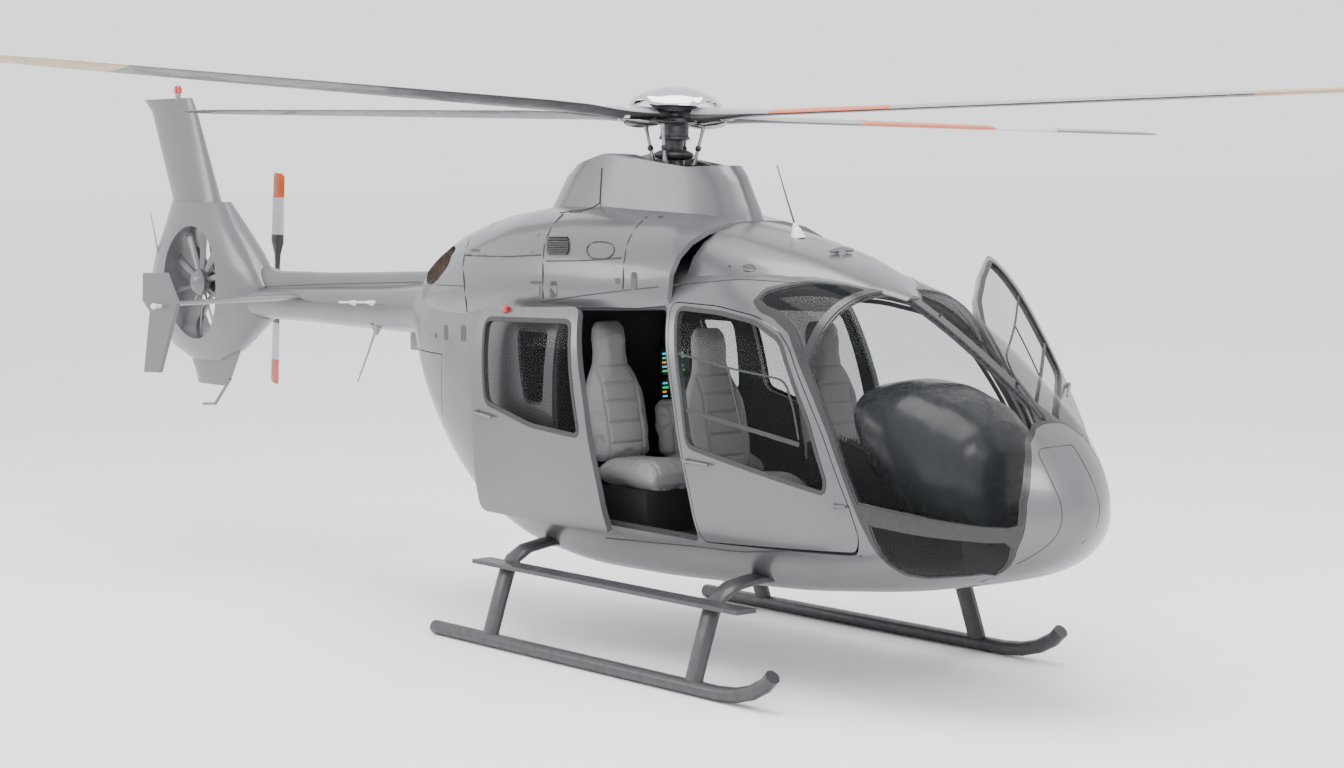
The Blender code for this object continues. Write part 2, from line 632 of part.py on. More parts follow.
def doors():
    """Two hinged front doors and two sliding rear doors, each with its pane."""
    body = bpy.data.objects["cabin_body"]
    for label, side in SIDES:
        hinge = Vector((side * HINGE_FOOT.x, HINGE_FOOT.y, HINGE_FOOT.z))
        pivot = empty(f"front_door_{label}_hinge", hinge, DATUM)
        rest = empty(f"front_door_{label}_shift", -hinge, pivot)
        door = skin(f"front_door_{label}", SILVER, rest)
        combine(door, "INTERSECT",
                side_cut(f"front_door_keep_{label}",
                         shrunk(rounded(FRONT_DOOR, 0.07), DOOR_GAP), side, rest, 0.3))
        window = rounded(FRONT_WINDOW, 0.06)
        combine(door, "DIFFERENCE",
                side_cut(f"front_window_hole_{label}", window, side, rest, 0.3))
        pane = skin(f"front_door_pane_{label}", GLASS, rest, PANE_DEPTH, PANE)
        combine(pane, "INTERSECT", side_cut(f"front_pane_keep_{label}", shrunk(window, FIT),
                                            side, rest, 0.3))
        line = Vector((side * HINGE_LINE.x, HINGE_LINE.y, HINGE_LINE.z)).normalized()
        for level in HINGE_HEIGHTS:
            start = hinge + line * ((level - hinge.z) / line.z)
            knuckles(f"front_hinge_{label}_{level}", body, door, start, line, side, 0.082,
                     -0.006, rest)
        if label == "port":
            pivot.rotation_mode = "AXIS_ANGLE"
            pivot.rotation_axis_angle = (math.radians(-PORT_DOOR_OPEN), *line)

        rail = empty(f"sliding_door_{label}_shift",
                     DOOR_SLIDE if label == "starboard" else (0, 0, 0), DATUM)
        outline = shrunk(rounded(REAR_DOOR, 0.07), DOOR_GAP if label == "starboard" else FIT)
        door = skin(f"sliding_door_{label}", SILVER, rail)
        combine(door, "INTERSECT",
                side_cut(f"sliding_door_keep_{label}", outline, side, rail, 0.3))
        window = rounded(REAR_WINDOW, 0.06)
        combine(door, "DIFFERENCE",
                side_cut(f"sliding_window_hole_{label}", window, side, rail, 0.3))
        if label == "starboard":
            hull = add_object("cabin_side_cut", body_mesh("cabin_side_cut", CABIN, CABIN_SIDES,
                                                          -FIT), None)
            for i, (y, z) in enumerate(SLIDE_GUIDES):
                guide = bar(f"slide_guide_{i + 1}", (-0.60, y, z), (-0.885, y, z), 0.018, 10,
                            STEEL)
                combine(guide, "DIFFERENCE", hull)
                combine(door, "UNION", guide)
        pane = skin(f"sliding_door_pane_{label}", GLASS, rail, PANE_DEPTH, PANE)
        combine(pane, "INTERSECT", side_cut(f"sliding_pane_keep_{label}", shrunk(window, FIT),
                                            side, rail, 0.3))


def cowling():
    """Roof ramp, engine cowlings and the block of the engines inside."""
    roof = add_object("cabin_roof_cut", body_mesh("cabin_roof_cut", CABIN, CABIN_SIDES, -FIT), None)
    spans = (("roof_ramp", RAMP, -2.50, INTAKE_Y - FIT),
             ("engine_cowl", COWL, INTAKE_Y, COWL_JOINT_Y - FIT),
             ("exhaust_cowl", COWL, COWL_JOINT_Y, 2.60))
    for name, table, start, end in spans:
        cowl = add_object(name, body_mesh(name, table, COWL_SIDES), SILVER)
        combine(cowl, "INTERSECT", box(name + "_span", (-1, start, 1.5), (1, end, 3.0)))
        combine(cowl, "DIFFERENCE", roof)
        if name == "engine_cowl":
            combine(cowl, "DIFFERENCE", add_object("cowl_inner", body_mesh(
                "cowl_inner", COWL, COWL_SIDES, COWL_WALL), None))
        if name == "exhaust_cowl":
            for label, side in SIDES:
                mouth = bar(f"exhaust_{label}", (side * 0.38, 1.55, 2.28),
                            (side * 0.56, 2.60, 2.36), 0.14, 20)
                combine(cowl, "DIFFERENCE", mouth)
    box("engines", (-0.42, -0.20, 2.4205), (0.42, 1.10, 2.580), STEEL)


def pylon():
    """The mast fairing: a tapered cowl with an open top round the mast."""
    levels = ((2.50, -0.86, 1.32, 0.280, 0.38), (2.68, -0.79, 1.25, 0.225, 0.29),
              (2.92, -0.66, 1.09, 0.200, 0.22), (2.99, -0.60, 1.00, 0.195, 0.20))
    square = 2.4
    rings = []
    for z, front, rear, half_front, half_rear in levels:
        ring = []
        for i in range(24):
            angle = 2.0 * math.pi * i / 24
            share = 0.5 + 0.5 * power(math.cos(angle), 2.0 / square)
            half = half_front + (half_rear - half_front) * share
            ring.append((half * power(math.sin(angle), 2.0 / square),
                         front + (rear - front) * share, z))
        rings.append(ring)
    fairing = add_object("mast_fairing", loft("mast_fairing", rings), SILVER)
    grown = add_object("cowl_top_cut", body_mesh("cowl_top_cut", COWL, COWL_SIDES, -FIT), None)
    combine(fairing, "DIFFERENCE", grown,
            plate("mast_well", rounded(MAST_WELL, 0.08), 2.80, 3.20, "plan"))


def tail():
    """Boom, shaft cover, shroud with its fin, stabiliser and tail bumper."""
    roof = add_object("cabin_rear_cut", body_mesh("cabin_rear_cut", CABIN, CABIN_SIDES, -FIT), None)
    cowl = add_object("cowl_rear_cut", body_mesh("cowl_rear_cut", COWL, COWL_SIDES, -FIT), None)
    boom = add_object("tail_boom", body_mesh("tail_boom", BOOM, BOOM_SIDES), SILVER)
    combine(boom, "DIFFERENCE", roof, cowl)
    grown_boom = add_object("boom_cut", body_mesh("boom_cut", BOOM, BOOM_SIDES, -FIT), None)
    cover = add_object("shaft_cover", body_mesh("shaft_cover", SHAFT_COVER, 12), SILVER)
    combine(cover, "DIFFERENCE", grown_boom, cowl, roof)

    shroud = add_object("fan_shroud", fin_mesh("fan_shroud", SHROUD, 28), SILVER)
    fin = add_object("fin_upper", fin_mesh("fin_upper", FIN, 20), SILVER)
    ventral = add_object("fin_lower", fin_mesh("fin_lower", VENTRAL_FIN, 16), SILVER)
    combine(shroud, "UNION", fin, ventral)
    for i, (start, end) in enumerate(zip(TAIL_BUMPER, TAIL_BUMPER[1:])):
        combine(shroud, "UNION", bar(f"tail_bumper_{i + 1}", (0, *start), (0, *end), 0.013, 8,
                                     DARK))
    duct = bar("duct", (-0.4, FAN_Y, FAN_Z), (0.4, FAN_Y, FAN_Z), FAN_RADIUS, 36)
    combine(shroud, "DIFFERENCE", duct)
    cover_cut = add_object("cover_cut", body_mesh("cover_cut", SHAFT_COVER, 12, -FIT), None)
    combine(shroud, "DIFFERENCE", grown_boom, cover_cut)

    tailplane = add_object("tailplane", wing_mesh("tailplane", TAILPLANE, 12, 0.0), SILVER)
    slot = add_object("tailplane_slot", wing_mesh("tailplane_slot", TAILPLANE, 12, FIT), None)
    combine(boom, "DIFFERENCE", slot)
    for label, side in SIDES:
        endplate = plate(f"endplate_{label}", ENDPLATE, *sorted((side * 1.265, side * 1.295)),
                         "side", SILVER)
        combine(tailplane, "UNION", endplate)


def cross_tube(name, station, grow, finish):
    """A bent cross tube with broad flat legs, one piece from skid to skid."""
    half = [(SKID_X, SKID_Z - grow), (1.085, 0.105), (1.02, 0.30), (0.965, 0.455),
            (0.915, 0.535), (0.82, 0.59), (0.66, 0.615), (0.30, 0.62)]
    path = [(x, station, z) for x, z in half] + [(-x, station, z) for x, z in half[::-1]]
    return sweep(name, path, 0.072 + grow, 0.030 + grow, 12, 2.6, finish)


def seat(name, x, y, wide, high, finish):
    """A padded seat: its side outline, narrowed to its outline from the front."""
    low = FLOOR_Z + SEAT_BASE + FIT
    cushion = [(0.0, 0.0), (-0.60, 0.0), (-0.62, 0.10), (-0.52, 0.17), (-0.13, 0.14), (-0.09, 0.20)]
    if high < 0.5:
        back = [(-0.06, high - 0.04), (-0.03, high), (0.05, high), (0.07, high - 0.04), (0.05, 0.06)]
        front = [(-wide, -0.1), (-wide, high - 0.06), (-0.85 * wide, high + 0.1)]
    else:
        back = [(0.03, 0.74), (0.03, high - 0.06), (0.08, high), (0.15, high - 0.01),
                (0.17, high - 0.12), (0.16, 0.72), (0.05, 0.06)]
        front = [(-wide, -0.1), (-wide, 0.56), (-0.80 * wide, 0.73), (-0.58 * wide, 0.78),
                 (-0.50 * wide, high + 0.1)]
    pad = plate(name, rounded([(y + a, low + b) for a, b in cushion + back], 0.03, 2),
                x - wide, x + wide, "side", finish)
    mirror = [(-a, b) for a, b in front[::-1]]
    keep = plate(name + "_front", rounded([(x + a, low + b) for a, b in front + mirror], 0.05, 2),
                 y - 1.0, y + 0.5, "front")
    combine(pad, "INTERSECT", keep)
    return pad


def interior():
    """Seats on their bases, the centre console, instrument panel and mission rack."""
    top = FLOOR_Z + SEAT_BASE
    for label, side in SIDES:
        seat(f"front_seat_{label}", side * FRONT_SEAT_X, FRONT_SEAT_Y, 0.235, 1.04, LEATHER)
        x = side * FRONT_SEAT_X
        box(f"front_seat_base_{label}", (x - 0.20, FRONT_SEAT_Y - 0.54, FLOOR_Z + FIT),
            (x + 0.20, FRONT_SEAT_Y - 0.02, top), TRIM)
    seat("rear_seat_starboard", REAR_SEAT_X, REAR_SEAT_Y, 0.235, 1.04, LEATHER)
    seat("rear_seat_middle", REAR_SEAT_X + 0.50, REAR_SEAT_Y, 0.235, 0.30, LEATHER)
    box("rear_seat_base", (REAR_SEAT_X - 0.20, REAR_SEAT_Y - 0.54, FLOOR_Z + FIT),
        (REAR_SEAT_X + 0.70, REAR_SEAT_Y - 0.02, top), TRIM)
    console = [(-1.42, 0.0), (-1.42, 0.60), (-1.80, 0.62), (-2.36, 0.47), (-2.4497, 0.0)]
    plate("centre_console", [(y, FLOOR_Z + FIT + z) for y, z in console], -0.14, 0.14, "side",
          TRIM)
    panel = [(-2.45, 0.0), (-2.45, 0.49), (-2.20, 0.62), (-2.10, 0.94), (-2.16, 1.02),
             (-2.50, 1.00), (-2.80, 0.90), (-2.98, 0.70), (-2.97, 0.42), (-2.72, 0.24),
             (-2.70, 0.0)]
    dash = plate("instrument_panel", rounded([(y, FLOOR_Z + FIT + z) for y, z in panel], 0.05, 2),
                 -0.44, 0.44, "side", TRIM)
    shape = [(-0.20, 0.0), (-0.20, 0.30), (-0.44, 0.50), (-0.44, 0.80), (-0.33, 1.00),
             (-0.15, 1.04)]
    front = shape + [(-x, z) for x, z in shape[::-1]]
    combine(dash, "INTERSECT", plate("instrument_panel_front",
                                     rounded([(x, FLOOR_Z + z) for x, z in front], 0.08, 2),
                                     -3.2, -1.9, "front"))
    box("mission_rack", (0.34, 0.42, FLOOR_Z + FIT), (0.66, 0.62, 1.86), TRIM)


def landing_gear():
    """Two skid tubes, two cross tubes and a step board on each side."""
    for label, y in (("front", FRONT_TUBE_Y), ("rear", REAR_TUBE_Y)):
        cross_tube(f"cross_tube_{label}", y, 0.0, DARK)
    for label, side in SIDES:
        x = side * SKID_X
        path = [(x, 1.16, SKID_Z), (x, -1.78, SKID_Z), (x, -1.94, 0.057),
                (x, -2.08, 0.092), (x, -2.20, 0.150), (x, -2.26, 0.205)]
        skid = sweep(f"skid_{label}", path, SKID_RADIUS, SKID_RADIUS, SKID_SIDES, 2.0, DARK)
        for end, y in (("front", FRONT_TUBE_Y), ("rear", REAR_TUBE_Y)):
            combine(skid, "DIFFERENCE", cross_tube(f"leg_cut_{end}_{label}", y, FIT, None))
        inner, outer = sorted((side * 0.945, side * 1.085))
        step = box(f"step_{label}", (inner, -1.93, 0.500), (outer, 0.74, 0.525), DARK)
        for end, y in (("front", FRONT_TUBE_Y), ("rear", REAR_TUBE_Y)):
            combine(step, "DIFFERENCE", cross_tube(f"step_cut_{end}_{label}", y, FIT, None))


def main_rotor():
    """Mast with its hub and polished cap, four blades, swashplate and pitch links."""
    tilt = empty("rotor_tilt", (0.0, 0.0, ROTOR_Z), DATUM)
    tilt.rotation_euler = (0.0, math.radians(ROTOR_TILT), 0.0)
    hub = turned("rotor_head", [(0.0, 0.178), (0.120, 0.160), (0.215, 0.115), (0.262, 0.060),
                                (0.262, 0.048), (0.150, 0.045), (0.150, -0.045), (0.075, -0.055),
                                (MAST_RADIUS, -0.120), (MAST_RADIUS, -0.4825), (0.0, -0.4825)],
                 32, POLISHED, tilt)
    for turn in range(4):
        angle = math.radians(ROTOR_LEAD - 90.0 + 90.0 * turn)
        arm = box(f"blade_fork_{turn + 1}", (0.10, -0.060, -0.040), (0.225, 0.060, 0.040), STEEL,
                  tilt)
        arm.rotation_euler = (0, 0, angle)
        combine(hub, "UNION", arm)
        blade = add_object(f"main_blade_{turn + 1}",
                           wing_mesh(f"main_blade_{turn + 1}", MAIN_BLADE, 12, 0.0), BLADE,
                           tilt)
        blade.rotation_euler = (0, 0, angle)
    bore = MAST_RADIUS + FIT
    ring = turned("swashplate", [(bore, -0.370), (0.135, -0.370), (0.135, -0.415),
                                 (bore, -0.415)], 32, STEEL, tilt, closed=True)
    for turn in range(4):
        angle = math.radians(ROTOR_LEAD - 90.0 + 90.0 * turn + LINK_LEAD)
        spot = Vector((math.cos(angle), math.sin(angle), 0.0))
        rod = bar(f"pitch_link_{turn + 1}", spot * 0.115 + Vector((0, 0, -0.390)),
                  spot * 0.200 + Vector((0, 0, -0.052)), 0.011, 8, STEEL, tilt)
        combine(ring, "UNION", rod)


def star(hub, table, count, place, start, finish):
    """Joins a ring of blades to a hub that turns about X."""
    for i in range(count):
        name = f"{hub.name}_blade_{i + 1}"
        blade = add_object(name, wing_mesh(name, table, 8, 0.0), finish, DATUM, place)
        blade.rotation_euler = (math.radians(start + 360.0 * i / count), 0, 0)
        blade.data.transform(Matrix.Rotation(math.radians(-90), 4, "Y"))
        combine(hub, "UNION", blade)


def tail_rotors():
    """The ducted fan with its stator, and the two-blade rotor on the port side."""
    fan_place = (-0.060, FAN_Y, FAN_Z)
    fan = turned("duct_fan", [(0.0, 0.0697), (0.030, 0.0697), (0.030, 0.045), (0.085, 0.035),
                              (0.105, 0.010), (0.105, -0.035), (0.060, -0.080), (0.0, -0.095)],
                 24, SILVER, DATUM, fan_place)
    stator_place = (0.085, FAN_Y, FAN_Z)
    stator = turned("fan_stator", [(0.0, 0.120), (0.060, 0.120), (0.100, 0.080),
                                   (0.105, -0.075), (0.0, -0.075)], 24, SILVER, DATUM,
                    stator_place)
    rotor_place = (TAIL_ROTOR_X, FAN_Y, FAN_Z)
    rotor = turned("tail_rotor", [(0.0, 0.055), (0.050, 0.045), (0.055, 0.020), (0.055, -0.020),
                                  (0.045, -0.060), (0.0, -0.060)], 20, STEEL, DATUM, rotor_place)
    for hub in (fan, stator, rotor):
        hub.rotation_euler = (0, math.radians(90), 0)
    star(fan, FAN_BLADE, 10, fan_place, 8.0, SILVER)
    star(stator, STATOR_VANE, 9, stator_place, 25.0, SILVER)
    star(rotor, TAIL_BLADE, 2, rotor_place, 6.0, BLADE)
    combine(stator, "UNION", bar("tail_rotor_post", (0.15, FAN_Y, FAN_Z),
                                 (TAIL_ROTOR_X - 0.0603, FAN_Y, FAN_Z), 0.040, 16, STEEL))


cabin()
doors()
cowling()
pylon()
tail()
interior()
landing_gear()
main_rotor()
tail_rotors()
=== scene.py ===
import math

import bmesh
import bpy
import numpy as np
from mathutils import Matrix, Vector, geometry
from mathutils.bvhtree import BVHTree


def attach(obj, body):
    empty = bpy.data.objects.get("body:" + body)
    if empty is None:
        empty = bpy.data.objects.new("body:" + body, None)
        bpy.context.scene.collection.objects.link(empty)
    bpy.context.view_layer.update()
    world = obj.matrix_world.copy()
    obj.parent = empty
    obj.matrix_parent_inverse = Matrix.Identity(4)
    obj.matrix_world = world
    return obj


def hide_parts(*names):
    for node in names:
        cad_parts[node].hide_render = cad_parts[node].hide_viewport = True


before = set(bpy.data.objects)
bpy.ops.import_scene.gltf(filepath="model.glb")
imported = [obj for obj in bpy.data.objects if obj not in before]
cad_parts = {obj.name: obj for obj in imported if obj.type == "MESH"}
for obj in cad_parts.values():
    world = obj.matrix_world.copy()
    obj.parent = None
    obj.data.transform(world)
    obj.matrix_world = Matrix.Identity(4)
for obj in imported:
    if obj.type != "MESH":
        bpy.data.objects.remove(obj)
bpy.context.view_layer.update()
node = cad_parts

# The scene. The helicopter stands on a plain pale floor under soft studio light, and the
# camera stands where the photograph was taken: off the starboard bow, at head height.
MAST_Y = -1.094                      # every station below is measured from the rotor mast


def srgb(code, alpha=1.0):
    """An sRGB hex colour as linear red, green, blue and alpha."""
    parts = [int(code[i:i + 2], 16) / 255.0 for i in (1, 3, 5)]
    return (*[c / 12.92 if c <= 0.04045 else ((c + 0.055) / 1.055) ** 2.4 for c in parts], alpha)


def add_node(tree, kind, links=(), **settings):
    """One shader node with its settings; links are (input, source socket) pairs."""
    made = tree.nodes.new(kind)
    for key, value in settings.items():
        if key in made.bl_rna.properties:
            setattr(made, key, value)
        else:
            made.inputs[key.replace("_", " ")].default_value = value
    for spot, source in links:
        tree.links.new(source, made.inputs[spot])
    return made


def finish_of(name, base, rough, metal=0.0, **sockets):
    """A new material's node tree and its Principled shader, with plain values set."""
    mat = bpy.data.materials.new(name)
    mat.use_nodes = True
    shader = mat.node_tree.nodes["Principled BSDF"]
    shader.inputs["Base Color"].default_value = srgb(base)
    shader.inputs["Roughness"].default_value = rough
    shader.inputs["Metallic"].default_value = metal
    for key, value in sockets.items():
        shader.inputs[key.replace("_", " ")].default_value = value
    return mat, mat.node_tree, shader


def mottle(tree, shader, base, other, size_mm, share, bump=0.0, rough=None, detail=4.0):
    """Clouds of a second colour, a matching bump and a drift in roughness.

    Noise over Object coordinates has features about size_mm across.
    """
    place = add_node(tree, "ShaderNodeTexCoord")
    cloud = add_node(tree, "ShaderNodeTexNoise", [("Vector", place.outputs["Object"])],
                     Scale=1000.0 / size_mm, Detail=detail)
    mix = add_node(tree, "ShaderNodeMix", data_type="RGBA")
    ramp = add_node(tree, "ShaderNodeMapRange", [("Value", cloud.outputs["Fac"])],
                    From_Min=0.35, From_Max=0.65, To_Max=share)
    tree.links.new(ramp.outputs["Result"], mix.inputs["Factor"])
    mix.inputs[6].default_value = srgb(base)
    mix.inputs[7].default_value = srgb(other)
    tree.links.new(mix.outputs[2], shader.inputs["Base Color"])
    if rough is not None:
        drift = add_node(tree, "ShaderNodeMapRange", [("Value", cloud.outputs["Fac"])],
                         From_Min=0.3, From_Max=0.7, To_Min=rough[0], To_Max=rough[1])
        tree.links.new(drift.outputs["Result"], shader.inputs["Roughness"])
    if bump:
        lift = add_node(tree, "ShaderNodeBump", [("Height", cloud.outputs["Fac"])],
                        Strength=bump, Distance=0.001)
        tree.links.new(lift.outputs["Normal"], shader.inputs["Normal"])
    return place


EYE = Vector((-10.67548, -14.05115 + MAST_Y, 3.09694))
YAW, PITCH, ROLL = math.radians(37.093), math.radians(4.829), math.radians(-0.768)
ahead = Vector((math.sin(YAW) * math.cos(PITCH), math.cos(YAW) * math.cos(PITCH),
                -math.sin(PITCH)))
level = ahead.cross(Vector((0, 0, 1))).normalized()
upright = level.cross(ahead)
right = level * math.cos(ROLL) + upright * math.sin(ROLL)
up = upright * math.cos(ROLL) - level * math.sin(ROLL)
camera = bpy.data.objects.new("camera", bpy.data.cameras.new("camera"))
bpy.context.scene.collection.objects.link(camera)
camera.matrix_world = Matrix.Translation(EYE) @ Matrix((right, up, -ahead)).transposed().to_4x4()
camera.data.lens, camera.data.sensor_width = 75.59, 36.0
FOCAL_PIXELS, MIDDLE_PIXEL = 2822.1, (672.0, 384.0)          # the same lens in the photograph
camera.data.clip_end = 500.0
bpy.context.scene.camera = camera

mat_floor, tree, shader = finish_of("painted_concrete", "#fbfbfb", 0.7)
mottle(tree, shader, "#fbfbfb", "#f6f6f6", 400.0, 0.5, rough=(0.6, 0.8))
form = bmesh.new()
bmesh.ops.create_grid(form, x_segments=1, y_segments=1, size=160.0)
floor_mesh = bpy.data.meshes.new("floor")
form.to_mesh(floor_mesh)
form.free()
floor = bpy.data.objects.new("floor", floor_mesh)
floor_mesh.materials.append(mat_floor)
bpy.context.scene.collection.objects.link(floor)
floor.location.z = -0.002

world = bpy.data.worlds.new("studio")
world.use_nodes = True
world.node_tree.nodes["Background"].inputs["Color"].default_value = srgb("#f6f7f9")
world.node_tree.nodes["Background"].inputs["Strength"].default_value = 1.75
bpy.context.scene.world = world
LAMPS = (  # name, place, aim, width, height, watts
    ("overhead_softbox", (-1.0, -2.0, 12.0), (0.0, 0.0, 1.5), 9.0, 12.0, 1900.0),
    ("bow_softbox", (-4.0, -16.0, 9.0), (0.0, -2.0, 1.5), 7.0, 5.0, 900.0),
    ("tail_softbox", (-10.0, 9.0, 6.0), (0.0, 3.0, 1.6), 6.0, 4.0, 350.0),
)
for name, place, aim, wide, high, watts in LAMPS:
    lamp = bpy.data.objects.new(name, bpy.data.lights.new(name, "AREA"))
    lamp.data.shape, lamp.data.size, lamp.data.size_y = "RECTANGLE", wide, high
    lamp.data.energy = watts
    lamp.location = place
    lamp.rotation_euler = (Vector(aim) - Vector(place)).to_track_quat("-Z", "Y").to_euler()
    bpy.context.scene.collection.objects.link(lamp)


# Cabin body. A moulded composite shell in silver metallic paint under clear lacquer, with
# grey trim inside. Its door openings, window rebates and dark glazing frame are cut in it.
mat_silver, tree, shader = finish_of("silver_metallic_paint", "#66676a", 0.34, 0.55,
                                     Coat_Weight=0.5, Coat_Roughness=0.12)
place = mottle(tree, shader, "#67686b", "#5f6063", 900.0, 0.6, rough=(0.30, 0.38))
# aluminium flakes are far finer than this, which is as fine as the render shows
flake = add_node(tree, "ShaderNodeTexNoise", [("Vector", place.outputs["Object"])],
                 Scale=420.0, Detail=1.0)
glint = add_node(tree, "ShaderNodeBump", [("Height", flake.outputs["Fac"])],
                 Strength=0.035, Distance=0.0005)
tree.links.new(glint.outputs["Normal"], shader.inputs["Normal"])

mat_lining, tree, shader = finish_of("cabin_trim_fabric", "#454547", 0.85, Sheen_Weight=0.2)
mottle(tree, shader, "#474749", "#3c3c3e", 6.0, 0.8, bump=0.25, rough=(0.78, 0.9))
# black print for the glazing borders; the cowls' slots, louvre and inlet take the same black as
# painted shade in their openings
mat_print_and_shade, tree, shader = finish_of("black_print_and_painted_shade", "#2a2b2d", 0.25)
mottle(tree, shader, "#2b2c2e", "#242527", 40.0, 0.7, rough=(0.2, 0.32))
mat_rubber, tree, shader = finish_of("rubber_seal", "#2e2f30", 0.6)
mottle(tree, shader, "#303132", "#28292a", 12.0, 0.8, bump=0.15, rough=(0.5, 0.7))
# dark grey paint for the gear and the whip; inside the engine cowl and the mast fairing's well the
# same grey is painted shade
mat_dark, tree, shader = finish_of("dark_grey_paint", "#333437", 0.42, 0.1, Coat_Weight=0.2)
mottle(tree, shader, "#343538", "#2d2e30", 60.0, 0.8, bump=0.1, rough=(0.36, 0.5))

# y half low mid high n_low n_high, nose to tail end
CABIN = np.array([
    (-3.545, 0.04, 1.050, 1.12, 1.190, 2.0, 2.0), (-3.500, 0.19, 0.950, 1.11, 1.320, 2.1, 2.0),
    (-3.400, 0.34, 0.850, 1.10, 1.480, 2.2, 2.1), (-3.250, 0.47, 0.770, 1.10, 1.620, 2.3, 2.2),
    (-3.000, 0.595, 0.700, 1.10, 1.790, 2.5, 2.3), (-2.700, 0.690, 0.640, 1.11, 1.970, 2.6, 2.4),
    (-2.400, 0.750, 0.590, 1.13, 2.130, 2.7, 2.6), (-2.050, 0.785, 0.550, 1.16, 2.280, 2.8, 2.9),
    (-1.600, 0.800, 0.505, 1.18, 2.380, 2.8, 3.2), (-1.000, 0.800, 0.475, 1.20, 2.420, 2.8, 3.4),
    (-0.200, 0.800, 0.445, 1.20, 2.420, 2.8, 3.4), (0.500, 0.800, 0.460, 1.20, 2.400, 2.8, 3.3),
    (0.950, 0.790, 0.540, 1.22, 2.380, 2.8, 3.2), (1.350, 0.745, 0.700, 1.30, 2.350, 2.7, 3.0),
    (1.750, 0.665, 0.985, 1.45, 2.320, 2.6, 2.8), (2.100, 0.565, 1.320, 1.65, 2.280, 2.5, 2.7),
    (2.450, 0.420, 1.730, 1.93, 2.230, 2.4, 2.6)])
NOSE_TIP = -3.550


def rows_at(table, y):
    """The section rows at stations y: a cubic through the table.

    Each span is a Hermite curve whose end slopes are the chords of the rows either side.
    The curve runs in the root of the distance from the front end, which rounds a nose.
    """
    root = np.sqrt(table[:, 0] - table[0, 0] + 0.005)
    at = np.sqrt(np.maximum(y - table[0, 0] + 0.005, 0.0))
    slope = np.gradient(table[:, 1:], root, axis=0)
    i = np.clip(np.searchsorted(root, at) - 1, 0, len(root) - 2)
    h = (root[i + 1] - root[i])[..., None]
    t = np.clip((at - root[i])[..., None] / h, 0.0, 1.0)
    return ((1 + 2 * t) * (1 - t) ** 2 * table[i, 1:] + t * (1 - t) ** 2 * h * slope[i]
            + t * t * (3 - 2 * t) * table[i + 1, 1:] + t * t * (t - 1) * h * slope[i + 1])


def body_point(table, y, a):
    """A point of a body at station y and bearing a: two half superellipses by bearing."""
    half, low, mid, high, n_low, n_high = np.moveaxis(rows_at(table, y), -1, 0)
    c, s = np.cos(a), np.sin(a)
    n = np.where(s >= 0, n_high, n_low)
    reach = np.where(s >= 0, high - mid, mid - low)
    r = (np.abs(c) ** n + np.abs(s) ** n) ** (-1.0 / n)
    return np.stack([half * r * c, y, mid + reach * r * s], -1)


def bearing(table, y, z):
    """The bearing on a body's +X side where it passes station y and height z."""
    half, low, mid, high, n_low, n_high = np.moveaxis(rows_at(table, y), -1, 0)
    n = np.where(z >= mid, n_high, n_low)
    reach = np.where(z >= mid, high - mid, mid - low)
    t = np.clip((z - mid) / reach, -1.0, 1.0)
    return np.arctan2(t, (1.0 - np.abs(t) ** n) ** (1.0 / n))


def bearing_above(table, x, y):
    """The bearing on a body's upper +X side where it passes x and station y."""
    half, low, mid, high, n_low, n_high = np.moveaxis(rows_at(table, y), -1, 0)
    u = np.clip(x / half, 0.0, 1.0)
    return np.arctan2((1.0 - u ** n_high) ** (1.0 / n_high), u)


def soft_corners(corners, radius, step=0.02):
    """A closed outline with rounded corners, resampled about every step."""
    corners = np.asarray(corners, float)
    before, after = np.roll(corners, 1, 0) - corners, np.roll(corners, -1, 0) - corners
    pieces = []
    for here, b, a in zip(corners, before, after):
        lb, la = np.linalg.norm(b), np.linalg.norm(a)
        reach = min(radius, 0.4 * lb, 0.4 * la)
        start, end = here + b / lb * reach, here + a / la * reach
        t = np.linspace(0, 1, 7)[:, None]
        pieces.append((1 - t) ** 2 * start + 2 * t * (1 - t) * here + t * t * end)
    path = np.concatenate(pieces + [pieces[0][:1]])
    gone = np.concatenate([[0], np.cumsum(np.linalg.norm(np.diff(path, axis=0), axis=1))])
    count = max(int(gone[-1] / step), 12)
    at = np.arange(count) * gone[-1] / count
    return np.stack([np.interp(at, gone, path[:, k]) for k in range(2)], -1)


def offset(loop, distance):
    """A closed outline moved inwards by a distance (outwards if negative)."""
    along = np.roll(loop, -1, 0) - np.roll(loop, 1, 0)
    along /= np.linalg.norm(along, axis=1)[:, None]
    area = np.sum(loop[:, 0] * np.roll(loop[:, 1], -1) - np.roll(loop[:, 0], -1) * loop[:, 1])
    return loop + np.sign(area) * distance * np.stack([-along[:, 1], along[:, 0]], -1)


def inside(points, loop):
    """Which points lie inside a closed outline: the crossings to their right are odd."""
    a, b = loop, np.roll(loop, -1, 0)
    x, y = points[:, :1], points[:, 1:2]
    crosses = (a[:, 1] > y) != (b[:, 1] > y)
    reach = (b[:, 0] - a[:, 0]) * (y - a[:, 1]) / (b[:, 1] - a[:, 1] + 1e-12) + a[:, 0]
    return (np.sum(crosses & (x < reach), axis=1) % 2) == 1


